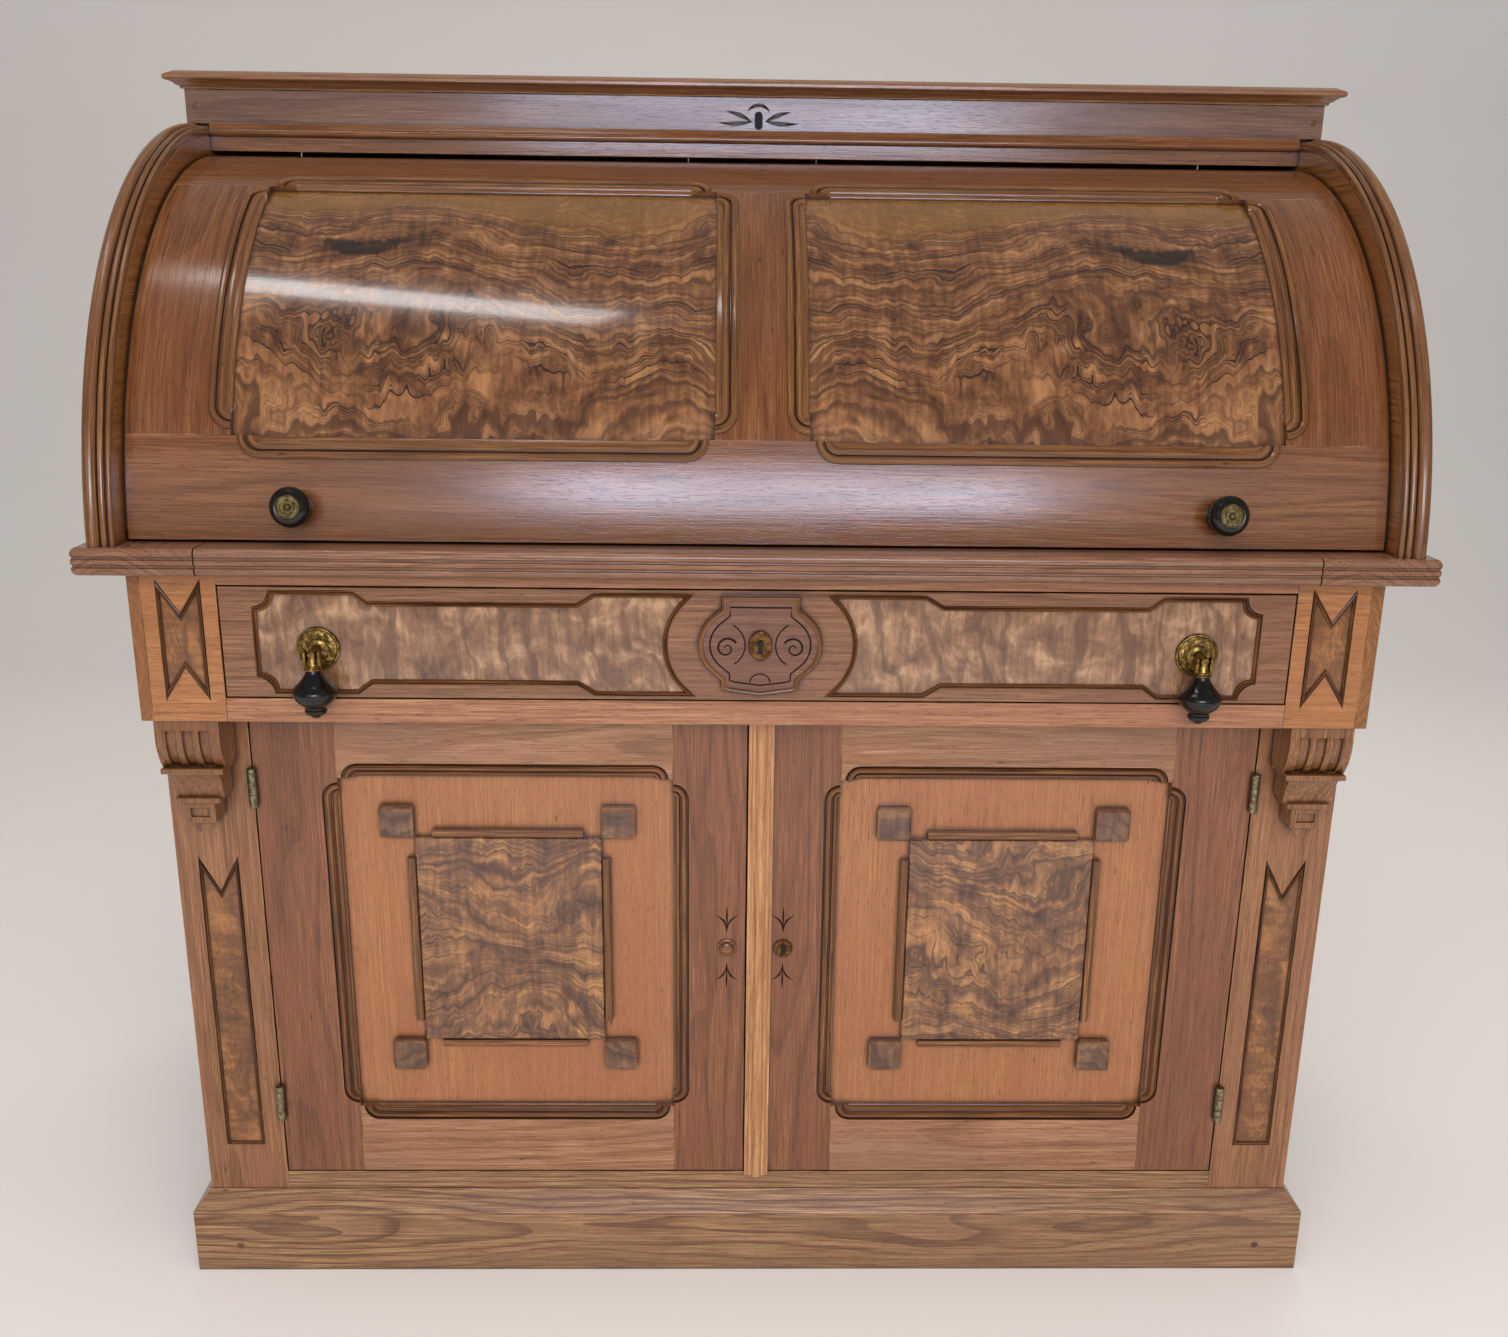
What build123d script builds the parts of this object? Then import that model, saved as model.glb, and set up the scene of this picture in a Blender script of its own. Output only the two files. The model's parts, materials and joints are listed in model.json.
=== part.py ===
from build123d import *
import os
from math import asin, atan2, cos, degrees, radians, sin, sqrt

os.makedirs("parts", exist_ok=True)

# Cylinder desk: cupboard base, frieze with one long drawer, pull-out writing slide,
# rigid quarter-round fall between two end panels, shallow top box with a cornice.
# Millimetres. X to the right, Y into the depth, Z up. The origin is on the floor under
# the middle of the overall box. Depths are given from the face of the frieze.

# Overall. The depth lets the fall turn right back inside the case, so it follows the fall.
case_width = 1108.0
fall_radius = 358.0
writing_height = 762.0
deck_thick = 24.0
case_depth = 2 * fall_radius - 18.0
pull_reach = 41.1
face_y = -(case_depth - pull_reach) / 2
back_y = face_y + case_depth
case_half = case_width / 2

# Carcase boards, kept apart by a glue line where they meet in one assembly
glue = 0.1
side_thick = 20.0
back_thick = 8.0
rail_thick = 22.0
floor_thick = 18.0
dust_thick = 12.0

# Plinth
plinth_height = 65.0
plinth_thick = 16.0
cap_height = 22.0
cap_lip = 3.5
cap_top = plinth_height + cap_height

# Lower front: posts, rail and doors stand back from the frieze
set_back = 48.0
post_width = 79.0
door_thick = 20.0
rail_show = 21.0
door_bottom = cap_top + rail_show
door_gap = 1.5
frieze_height = 138.0
frieze_top = writing_height - deck_thick
frieze_bottom = frieze_top - frieze_height
door_head_gap = 2.0
door_top = frieze_bottom - door_head_gap
post_y = face_y + set_back
post_inner = case_half - post_width
post_mid = case_half - post_width / 2

# Frieze
frieze_side_thick = 11.0
block_width = 66.0
lower_rail_height = 22.0
upper_rail_height = 13.5
drawer_gap = 1.5
opening_half = case_half - frieze_side_thick - block_width
opening_bottom = frieze_bottom + lower_rail_height
opening_top = frieze_top - upper_rail_height
block_mid = opening_half + block_width / 2

# Deck and slide
deck_over_front = 36.0
deck_over_side = 32.0
slide_side_gap = 72.5
slide_half = case_half - slide_side_gap
slide_gap = 1.0
slide_lift = 0.5
slide_depth = fall_radius + 108.0
reed_groove = 1.7

# Fall and end panels
fall_thick = 20.0
fall_proud = 2.0
end_proud = 30.0
end_radius = fall_radius + end_proud
pivot_z = frieze_top - 1.0
pivot_y = face_y + fall_radius - fall_proud
end_thick = 24.5
end_over = 20.0
end_outer = case_half + end_over
end_inner = end_outer - end_thick
fall_side_gap = 2.5
fall_half = end_inner - fall_side_gap
fall_top_angle = 85.0
fall_panel_low = 18.7
fall_panel_high = 65.0
fall_travel = 72.0
tongue_thick = 7.0
tongue_reach = 4.0
tongue_gap = 0.5
moulding_width = 20.0

# Top box and cornice
box_height = 32.0
box_thick = 18.0
box_y = pivot_y - 13.0
box_bottom = pivot_z + end_radius
box_top = box_bottom + box_height
cornice_over = 16.0
cornice_height = 16.0
head_rail_height = 13.0
head_mould_height = 13.0

# Pigeonhole unit
unit_side_gap = 19.5
unit_half = end_inner - unit_side_gap
unit_y = pivot_y - 106.0
unit_depth = fall_radius - 78.0
unit_height = fall_radius - 111.0
unit_board = 8.0
unit_lift = 0.3

front_left = (Align.MIN, Align.MIN, Align.MIN)
front_mid = (Align.CENTER, Align.MIN, Align.MIN)
upright = (Align.CENTER, Align.CENTER, Align.MIN)


def front_plane(y):
    """Plane facing the user at depth y: its x is X and its y is Z."""
    return Plane(origin=(0, y, 0), x_dir=(1, 0, 0), z_dir=(0, -1, 0))


def side_plane(x):
    """Plane facing +X at x: its x is Y and its y is Z."""
    return Plane(origin=(x, 0, 0), x_dir=(0, 1, 0), z_dir=(1, 0, 0))


def dome(x, y, half, rise):
    """Middle point of a cap that is a part of a sphere, from its edge (x + half, y) to its top."""
    radius = (half * half + rise * rise) / (2 * rise)
    turn = asin(half / radius) / 2
    return (x + radius * sin(turn), y - rise + radius - radius * cos(turn))


def fall_plane(angle):
    """Plane through the fall's axis: its x is X and its y runs out along the radius."""
    turn = radians(angle)
    return Plane(origin=(0, pivot_y, pivot_z), x_dir=(1, 0, 0), z_dir=(0, -sin(turn), -cos(turn)))


def save(part, name):
    part.label = name
    export_step(part, f"parts/{name}.step")


fall_axis = Axis((0, pivot_y, pivot_z), (-1, 0, 0))

# ---------------------------------------------------------------- plinth

# Four boards butted round the foot of the carcase: front, two sides and a back board
# between the sides.
plinth_half = case_half + plinth_thick
plinth_y = post_y - plinth_thick
with BuildPart() as plinth_boards:
    with Locations((0, plinth_y, 0)):
        Box(2 * plinth_half, plinth_thick, plinth_height, align=front_mid)
    with Locations((-plinth_half, post_y + glue, 0), (case_half, post_y + glue, 0)):
        Box(plinth_thick, back_y - post_y - glue, plinth_height, align=front_left)
    with Locations((0, back_y - back_thick - plinth_thick, 0)):
        Box(2 * (case_half - side_thick - glue), plinth_thick, plinth_height, align=front_mid)
save(plinth_boards.part, "plinth_boards")

# Sloped cap on the plinth: three lengths of moulding mitred at the front corners.
mitre_gap = 0.1
front_mitre = Plane(origin=(case_half, post_y, 0), z_dir=(1, 1, 0))
front_mitre_right = Plane(origin=(case_half - mitre_gap, post_y, 0), z_dir=(1, 1, 0))
front_mitre_left = Plane(origin=(mitre_gap - case_half, post_y, 0), z_dir=(-1, 1, 0))
with BuildPart() as cap_front:
    with BuildSketch(side_plane(-plinth_half)):
        with BuildLine():
            Polyline(
                (plinth_y, plinth_height),
                (plinth_y, plinth_height + cap_lip),
                (plinth_y + 1.5, plinth_height + cap_lip + 1.2),
                (post_y - 1.5, cap_top),
                (post_y, cap_top),
                (post_y, plinth_height),
                close=True,
            )
        make_face()
    extrude(amount=2 * plinth_half)
    split(bisect_by=front_mitre_right, keep=Keep.BOTTOM)
    split(bisect_by=front_mitre_left, keep=Keep.BOTTOM)
with BuildPart() as cap_right:
    with BuildSketch(front_plane(plinth_y)):
        with BuildLine():
            Polyline(
                (plinth_half, plinth_height),
                (plinth_half, plinth_height + cap_lip),
                (plinth_half - 1.5, plinth_height + cap_lip + 1.2),
                (case_half + 1.5, cap_top),
                (case_half, cap_top),
                (case_half, plinth_height),
                close=True,
            )
        make_face()
    extrude(amount=-(back_y - plinth_y))
    split(bisect_by=front_mitre, keep=Keep.TOP)
with BuildPart() as plinth_cap:
    add(cap_front)
    add(cap_right)
    add(mirror(cap_right.part, about=Plane.YZ))
save(plinth_cap.part, "plinth_cap")

# ---------------------------------------------------------------- lower carcase

# Side boards from the floor to the frieze, each with a sunk panel outside.
side_front = post_y + rail_thick
side_back = back_y - back_thick
panel_margin = 62.0
panel_low = 150.0
with BuildPart() as case_sides:
    with Locations((-case_half, side_front, 0), (case_half - side_thick, side_front, 0)):
        Box(side_thick, side_back - side_front, frieze_bottom, align=front_left)
    with BuildSketch(side_plane(case_half)) as side_sunk:
        with Locations(((side_front + side_back) / 2, (panel_low + frieze_bottom - panel_margin) / 2)):
            Rectangle(side_back - side_front - 2 * panel_margin, frieze_bottom - panel_margin - panel_low)
    extrude(amount=-5, taper=30, mode=Mode.SUBTRACT)
    with BuildSketch(side_plane(-case_half)):
        with Locations(((side_front + side_back) / 2, (panel_low + frieze_bottom - panel_margin) / 2)):
            Rectangle(side_back - side_front - 2 * panel_margin, frieze_bottom - panel_margin - panel_low)
    extrude(amount=5, taper=30, mode=Mode.SUBTRACT)
save(case_sides.part, "case_sides")

# Hinge sizes, shared by the posts and the doors: butts let into the meeting edges.
hinge_height = 38.0
hinge_low_z = door_bottom + 80.0
hinge_high_z = door_top - 75.5
leaf_thick = 1.2
leaf_depth = 16.0
knuckle_radius = 4.0
knuckle_gap = 0.4
pin_radius = 2.0
pin_clearance = 0.05
hinge_y = post_y - knuckle_radius - 0.5
hinge_x = post_inner - door_gap / 2
hinge_zs = (hinge_low_z, hinge_high_z)

# Ornament let into each post and frieze block: a sunk field with swallow-tail notches.
inlay_depth = 4.0
inlay_thick = 3.0
inlay_border = 3.5
pilaster_half = 19.0
pilaster_low = door_bottom + 30.0
pilaster_high = frieze_bottom - 148.0
pilaster_notch = 36.0
chevron_half = 19.5
chevron_low = frieze_bottom + 19.5
chevron_high = frieze_top - 9.5
chevron_notch = 30.0


def notched(mid, half, low, high, notch_low, notch_high, inset):
    """Points of an upright field whose ends are cut to a V that points inwards."""
    w = half - inset
    ends = []
    for notch in (notch_low, notch_high):
        slope = notch / half
        rise = inset * sqrt(1 + slope * slope)
        ends.append((slope * inset + rise, notch + rise))
    points = [(mid - w, low + ends[0][0])]
    if notch_low:
        points.append((mid, low + ends[0][1]))
    points.append((mid + w, low + ends[0][0]))
    points.append((mid + w, high - ends[1][0]))
    if notch_high:
        points.append((mid, high - ends[1][1]))
    points.append((mid - w, high - ends[1][0]))
    return points


with BuildPart() as posts:
    with Locations((-post_mid, post_y, 0), (post_mid, post_y, 0)):
        Box(post_width, rail_thick, frieze_bottom, align=front_mid)
    with BuildSketch(front_plane(post_y)):
        for side in (-1, 1):
            with BuildLine():
                Polyline(
                    *notched(side * (post_mid), pilaster_half, pilaster_low, pilaster_high, 0, pilaster_notch, 0),
                    close=True,
                )
            make_face()
    extrude(amount=-inlay_depth, mode=Mode.SUBTRACT)
    for side in (-1, 1):
        with Locations(*[(side * (post_inner + leaf_thick / 2), post_y, z - hinge_height / 2) for z in hinge_zs]):
            Box(leaf_thick, leaf_depth, hinge_height, align=front_mid, mode=Mode.SUBTRACT)
save(posts.part, "posts")

bottom_rail_top = door_bottom - door_gap
with BuildPart() as bottom_rail:
    with Locations((0, post_y, 20)):
        Box(2 * post_inner, rail_thick, bottom_rail_top - 20, align=front_mid)
save(bottom_rail.part, "bottom_rail")

# Cupboard floor and the dust board that closes the drawer's space from below.
inner_half = case_half - side_thick
with BuildPart() as case_boards:
    with Locations((0, side_front, bottom_rail_top - floor_thick)):
        Box(2 * inner_half, side_back - side_front, floor_thick, align=front_mid)
    with Locations((0, face_y + rail_thick, frieze_bottom)):
        Box(2 * (case_half - frieze_side_thick), side_back - face_y - rail_thick, dust_thick, align=front_mid)
save(case_boards.part, "case_boards")

# Loose shelf on two cleats.
shelf_top = 360.0
shelf_thick = 16.0
shelf_set_back = 110.0
cleat = 18.0
with BuildPart() as shelf:
    with Locations((0, post_y + shelf_set_back, shelf_top - shelf_thick)):
        Box(2 * inner_half - 2, side_back - post_y - shelf_set_back - 2, shelf_thick, align=front_mid)
    with Locations(
        (-inner_half, post_y + shelf_set_back, shelf_top - shelf_thick - cleat - glue),
        (inner_half - cleat, post_y + shelf_set_back, shelf_top - shelf_thick - cleat - glue),
    ):
        Box(cleat, side_back - post_y - shelf_set_back - 20, cleat, align=front_left)
save(shelf.part, "shelf")

# Back of upright boards, shot edge to edge with a small bevel gap, below and above the deck.
back_count = 7
board_gap = 0.6
lower_board = (2 * case_half) / back_count
upper_board = (2 * end_inner) / back_count
with BuildPart() as back_boards:
    with Locations((0, side_back, (20 + frieze_top) / 2)):
        with GridLocations(lower_board, 1, back_count, 1):
            Box(lower_board - board_gap, back_thick, frieze_top - 20, align=(Align.CENTER, Align.MIN, Align.CENTER))
    with Locations((0, side_back, (writing_height + box_bottom) / 2)):
        with GridLocations(upper_board, 1, back_count, 1):
            Box(
                upper_board - board_gap,
                back_thick,
                box_bottom - writing_height,
                align=(Align.CENTER, Align.MIN, Align.CENTER),
            )
save(back_boards.part, "back_boards")

# ---------------------------------------------------------------- frieze

with BuildPart() as frieze_sides:
    with Locations((-case_half, face_y, frieze_bottom), (case_half - frieze_side_thick, face_y, frieze_bottom)):
        Box(frieze_side_thick, side_back - face_y, frieze_height, align=front_left)
save(frieze_sides.part, "frieze_sides")

with BuildPart() as frieze_blocks:
    with Locations((-block_mid, face_y, frieze_bottom), (block_mid, face_y, frieze_bottom)):
        Box(block_width, rail_thick, frieze_height, align=front_mid)
    with BuildSketch(front_plane(face_y)):
        for side in (-1, 1):
            with BuildLine():
                Polyline(
                    *notched(
                        side * block_mid, chevron_half, chevron_low, chevron_high, chevron_notch, chevron_notch, 0
                    ),
                    close=True,
                )
            make_face()
    extrude(amount=-inlay_depth, mode=Mode.SUBTRACT)
save(frieze_blocks.part, "frieze_blocks")

# Burl let into the sunk fields of the posts and blocks.
with BuildPart() as post_inlays:
    with BuildSketch(front_plane(post_y + inlay_depth)):
        for side in (-1, 1):
            with BuildLine():
                Polyline(
                    *notched(
                        side * post_mid, pilaster_half, pilaster_low, pilaster_high, 0, pilaster_notch, inlay_border
                    ),
                    close=True,
                )
            make_face()
    extrude(amount=inlay_thick)
    with BuildSketch(front_plane(face_y + inlay_depth)):
        for side in (-1, 1):
            with BuildLine():
                Polyline(
                    *notched(
                        side * block_mid,
                        chevron_half,
                        chevron_low,
                        chevron_high,
                        chevron_notch,
                        chevron_notch,
                        inlay_border,
                    ),
                    close=True,
                )
            make_face()
    extrude(amount=inlay_thick)
save(post_inlays.part, "post_inlays")

with BuildPart() as frieze_rails:
    with Locations((0, face_y, frieze_bottom)):
        Box(2 * opening_half, rail_thick, lower_rail_height, align=front_mid)
    with Locations((0, face_y, opening_top)):
        Box(2 * opening_half, rail_thick, upper_rail_height, align=front_mid)
save(frieze_rails.part, "frieze_rails")

# Corbels under the frieze: a fluted scroll, fillet, cove, panelled block and drop.
corbel_width = post_width - 21.0
corbel_x = case_half - 9.0 - corbel_width / 2
scroll_bottom = frieze_bottom - 47.0
fillet_bottom = scroll_bottom - 5.0
cove_bottom = fillet_bottom - 26.0
step_bottom = cove_bottom - 5.0
block_bottom = step_bottom - 20.0
drop_bottom = block_bottom - 10.0
flute_width = 9.0
flute_pitch = 15.0
with BuildPart() as corbels:
    with BuildSketch(side_plane(corbel_x - corbel_width / 2)):
        with BuildLine():
            l1 = Line((post_y, frieze_bottom), (face_y + 3, frieze_bottom))
            l2 = Line(l1 @ 1, (face_y + 3, frieze_bottom - 8))
            l3 = ThreePointArc(l2 @ 1, (face_y + 4.5, frieze_bottom - 30), (face_y + 14, scroll_bottom))
            Polyline(l3 @ 1, (post_y, scroll_bottom), (post_y, frieze_bottom))
        make_face()
    extrude(amount=corbel_width)
    for step in (-1, 0, 1):
        with BuildSketch(side_plane(corbel_x + step * flute_pitch - flute_width / 2)):
            with BuildLine():
                m1 = Line((face_y - 1, frieze_bottom - 10), (face_y + 6, frieze_bottom - 10))
                m2 = ThreePointArc(m1 @ 1, (face_y + 7.5, frieze_bottom - 30), (face_y + 17, scroll_bottom + 1))
                Polyline(m2 @ 1, (face_y - 1, scroll_bottom + 1), (face_y - 1, frieze_bottom - 10))
            make_face()
        extrude(amount=flute_width, mode=Mode.SUBTRACT)
    with Locations((corbel_x, face_y + 5, fillet_bottom)):
        Box(corbel_width - 2, set_back - 5, scroll_bottom - fillet_bottom, align=front_mid)
    with BuildSketch(side_plane(corbel_x - corbel_width / 2 + 6)):
        with BuildLine():
            c1 = Line((post_y, fillet_bottom), (face_y + 8, fillet_bottom))
            c2 = ThreePointArc(c1 @ 1, (face_y + 15, cove_bottom + 16), (face_y + 19, cove_bottom))
            Polyline(c2 @ 1, (post_y, cove_bottom), (post_y, fillet_bottom))
        make_face()
    extrude(amount=corbel_width - 12)
    with Locations((corbel_x, face_y + 14, step_bottom)):
        Box(corbel_width - 18, set_back - 14, cove_bottom - step_bottom, align=front_mid)
    with Locations((corbel_x, face_y + 17, block_bottom)):
        Box(corbel_width - 30, set_back - 17, step_bottom - block_bottom, align=front_mid)
    with Locations((corbel_x, face_y + 17, (block_bottom + step_bottom) / 2 - 4.5)):
        Box(17, 2.5, 9, align=front_mid, mode=Mode.SUBTRACT)
    with BuildSketch(front_plane(face_y + 21)):
        with BuildLine():
            Polyline(
                (corbel_x - 11, block_bottom),
                (corbel_x - 10, block_bottom - 3),
                (corbel_x - 4, drop_bottom),
                (corbel_x + 4, drop_bottom),
                (corbel_x + 10, block_bottom - 3),
                (corbel_x + 11, block_bottom),
                close=True,
            )
        make_face()
    extrude(amount=-(set_back - 21))
    mirror(about=Plane.YZ)
save(corbels.part, "corbels")

# Runners with a side guide under the drawer, and kickers above it that also bear the slide.
drawer_half = opening_half - drawer_gap
drawer_side_thick = 11.0
drawer_box_half = opening_half - 11.0
guide_gap = 1.0
runner_top = opening_bottom + 0.2
kicker_width = 70.0
runner_depth = case_depth - 78.0
with BuildPart() as drawer_runners:
    with BuildSketch(front_plane(face_y + rail_thick)):
        for side in (-1, 1):
            with BuildLine():
                Polyline(
                    (side * (drawer_box_half - 26), frieze_bottom + dust_thick),
                    (side * (drawer_box_half + 21), frieze_bottom + dust_thick),
                    (side * (drawer_box_half + 21), runner_top + 24),
                    (side * (drawer_box_half + guide_gap), runner_top + 24),
                    (side * (drawer_box_half + guide_gap), runner_top),
                    (side * (drawer_box_half - 26), runner_top),
                    close=True,
                )
            make_face()
    extrude(amount=-runner_depth)
    for side in (-1, 1):
        with Locations((side * (opening_half - kicker_width / 2), face_y + rail_thick, opening_top)):
            Box(kicker_width, runner_depth, upper_rail_height, align=front_mid)
save(drawer_runners.part, "drawer_runners")

# ---------------------------------------------------------------- long drawer

drawer_front_thick = 20.0
drawer_low = opening_bottom + drawer_gap
drawer_high = opening_top - drawer_gap
drawer_mid = (drawer_low + drawer_high) / 2
drawer_depth = runner_depth - 20.0
band_half = (drawer_high - drawer_low) / 2 - 7.25
band_end = opening_half - 34.0
band_inner = 68.0
band_waist = 9.5
band_corner = 15.0
band_hollow = band_half - 23.5
inlay_slot = 4.5


def band(side, grow):
    """Outline of a veneered drawer band: notched outer corners, a waist, a hollow inner end."""
    e = band_end + grow
    i = band_inner - grow
    h = band_half + grow
    w = h - band_waist
    c = band_corner
    z = drawer_mid
    a1 = Line((side * i, z + h), (side * (i + 78), z + h))
    a2 = Line(a1 @ 1, (side * (i + 94), z + w))
    a3 = Line(a2 @ 1, (side * (e - 97), z + w))
    a4 = Line(a3 @ 1, (side * (e - 84), z + h))
    a5 = Line(a4 @ 1, (side * (e - c), z + h))
    a6 = ThreePointArc(a5 @ 1, (side * (e - 0.7 * c), z + h - 0.7 * c), (side * e, z + h - c))
    a7 = Line(a6 @ 1, (side * e, z - h + c))
    a8 = ThreePointArc(a7 @ 1, (side * (e - 0.7 * c), z - h + 0.7 * c), (side * (e - c), z - h))
    a9 = Line(a8 @ 1, (side * (e - 84), z - h))
    b1 = Line(a9 @ 1, (side * (e - 97), z - w))
    b2 = Line(b1 @ 1, (side * (i + 94), z - w))
    b3 = Line(b2 @ 1, (side * (i + 78), z - h))
    b4 = Line(b3 @ 1, (side * i, z - h))
    ThreePointArc(b4 @ 1, (side * (i + band_hollow), z), (side * i, z + h))


keyhole_z = drawer_mid + 2.0
with BuildPart() as drawer_front:
    with Locations((0, face_y, drawer_low)):
        Box(2 * drawer_half, drawer_front_thick, drawer_high - drawer_low, align=front_mid)
    with BuildSketch(front_plane(face_y)):
        for side in (-1, 1):
            with BuildLine():
                band(side, inlay_slot)
            make_face()
    extrude(amount=-inlay_depth, mode=Mode.SUBTRACT)
    with Locations((0, face_y, keyhole_z - 9)):
        Box(6, drawer_front_thick, 18, align=front_mid, mode=Mode.SUBTRACT)
save(drawer_front.part, "drawer_front")

with BuildPart() as drawer_inlays:
    with BuildSketch(front_plane(face_y + inlay_depth)):
        for side in (-1, 1):
            with BuildLine():
                band(side, 0)
            make_face()
    extrude(amount=inlay_thick)
save(drawer_inlays.part, "drawer_inlays")

# Two sides and a back, lapped behind the front.
drawer_side_height = opening_top - opening_bottom - 18.5
drawer_base_thick = 7.0
drawer_base = runner_top + 0.3
with BuildPart() as drawer_box:
    for side in (-1, 1):
        with Locations((side * (drawer_box_half - drawer_side_thick / 2), face_y + drawer_front_thick, drawer_base)):
            Box(drawer_side_thick, drawer_depth, drawer_side_height, align=front_mid)
    with Locations((0, face_y + drawer_front_thick + drawer_depth - drawer_side_thick, drawer_base)):
        Box(2 * (drawer_box_half - drawer_side_thick - glue), drawer_side_thick, drawer_side_height, align=front_mid)
save(drawer_box.part, "drawer_box")

with BuildPart() as drawer_bottom:
    with Locations((0, face_y + drawer_front_thick, drawer_base + 3)):
        Box(
            2 * (drawer_box_half - drawer_side_thick),
            drawer_depth - drawer_side_thick,
            drawer_base_thick,
            align=front_mid,
        )
save(drawer_bottom.part, "drawer_bottom")

# Raised escutcheon block: a square with hollow corners and flat tabs top and bottom.
block_half = 53.0
block_proud = 7.0
tab_half = 28.0
tab_rise = 4.0
hollow = 15.0
with BuildPart() as drawer_escutcheon:
    with BuildSketch(front_plane(face_y)):
        with Locations((0, drawer_mid)):
            Rectangle(2 * block_half, 2 * band_half)
            Rectangle(2 * tab_half, 2 * (band_half + tab_rise))
        with Locations(
            (-block_half, drawer_mid - band_half),
            (-block_half, drawer_mid + band_half),
            (block_half, drawer_mid - band_half),
            (block_half, drawer_mid + band_half),
        ):
            Circle(hollow, mode=Mode.SUBTRACT)
    extrude(amount=block_proud)
    chamfer(faces().sort_by(Axis.Y)[0].edges(), 1.5)
    with Locations((0, face_y - block_proud, keyhole_z - 9)):
        Box(6, block_proud, 18, align=front_mid, mode=Mode.SUBTRACT)
save(drawer_escutcheon.part, "drawer_escutcheon")

# Drawer lock: oval keyhole plate in front and the lock case inside.
with BuildPart() as drawer_lock:
    with BuildSketch(front_plane(face_y - block_proud)):
        with Locations((0, keyhole_z)):
            Ellipse(10.5, 13.5)
        with Locations((0, keyhole_z + 3)):
            Circle(2.8, mode=Mode.SUBTRACT)
        with Locations((0, keyhole_z - 2.5)):
            Rectangle(3, 10, mode=Mode.SUBTRACT)
    extrude(amount=1.6)
    fillet(faces().sort_by(Axis.Y)[0].outer_wire().edges(), 1.0)
    with Locations((0, face_y + drawer_front_thick, drawer_high - 46)):
        Box(62, 12, 45, align=front_mid)
save(drawer_lock.part, "drawer_lock")

# Drop pulls: rosette and post on the drawer, turned drop hanging from a cross pin.
pull_x = opening_half - 85.5
pull_z = drawer_mid - 5.0
pin_y = face_y - 22.0
post_radius = 4.0
cross_radius = 1.5
cross_half = 7.6
with BuildPart() as pull_rosettes:
    for side in (-1, 1):
        with BuildSketch(Plane(origin=(side * pull_x, face_y, pull_z), x_dir=(1, 0, 0), z_dir=(0, 0, 1))):
            with BuildLine():
                Polyline(
                    (0, inlay_depth - inlay_thick),
                    (19.2, inlay_depth - inlay_thick),
                    (19.2, -1.4),
                    (17.5, -2.4),
                    (14.5, -1.8),
                    (9, -3.2),
                    (post_radius, -4.4),
                    (post_radius, -25),
                    (post_radius - 1, -26.5),
                    (0, -26.5),
                    close=True,
                )
            make_face()
        revolve(axis=Axis((side * pull_x, face_y, pull_z), (0, 1, 0)))
        with Locations(Location((side * pull_x, pin_y, pull_z), (0, 90, 0))):
            Cylinder(cross_radius, 2 * cross_half)
save(pull_rosettes.part, "pull_rosettes")


def pull_drop(side, name):
    """One drop: a brass fork on the cross pin and an ebonised turned drop below it."""
    x = side * pull_x
    with BuildPart() as drop:
        with Locations((x, pin_y, pull_z - 13)):
            Box(14.8, 8, 13 + 4, align=upright)
        with Locations((x, pin_y, pull_z - 7)):
            Box(2 * post_radius + 1.2, 8, 12, align=upright, mode=Mode.SUBTRACT)
        with Locations(Location((x, pin_y, pull_z), (0, 90, 0))):
            Cylinder(cross_radius + pin_clearance, 20, mode=Mode.SUBTRACT)
        with BuildSketch(Plane(origin=(x, pin_y, pull_z - 13), x_dir=(1, 0, 0), z_dir=(0, -1, 0))):
            with BuildLine():
                d1 = Line((0, 0), (6, 0))
                d2 = Spline(d1 @ 1, (8, -5), (18, -16), (19.2, -23), (14, -31), (9, -34.5))
                d3 = ThreePointArc(d2 @ 1, (9.6, -39), (4, -43.6))
                d4 = Line(d3 @ 1, (0, -44.6))
                Line(d4 @ 1, (0, 0))
            make_face()
        revolve(axis=Axis((x, pin_y, pull_z), (0, 0, 1)))
    save(drop.part, name)


pull_drop(-1, "pull_drop_left")
pull_drop(1, "pull_drop_right")

# ---------------------------------------------------------------- cupboard doors

door_outer = post_inner - door_gap
astragal_width = 24.0
astragal_left = -8.0
meeting_gap = 1.5
outer_stile = 77.5
top_rail = 67.0
bottom_rail_height = 74.0
outer_joint = door_outer - outer_stile
inner_joint = 79.5
top_joint = door_top - top_rail
bottom_joint = door_bottom + bottom_rail_height
ledge_width = 15.0
ledge_depth = 8.0
stop_length = 14.0
field_y = post_y + 10.0
field_thick = 7.0
field_mid_x = (inner_joint + outer_joint) / 2
field_mid_z = (bottom_joint + top_joint) / 2
burl_half_w = (outer_joint - inner_joint) / 2 - 68.75
burl_half_h = (top_joint - bottom_joint) / 2 - 67.0
burl_thick = 6.0
stud = 32.0
stud_x = burl_half_w + stud / 2
stud_z = burl_half_h + stud / 2 + 0.25
stud_thick = 11.0
bead_width = 8.0
bead_thick = 8.0
bead_half_top = burl_half_w - 17.5
bead_half_side = burl_half_h - 21.5
mid_z = field_mid_z + 6.5


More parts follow.
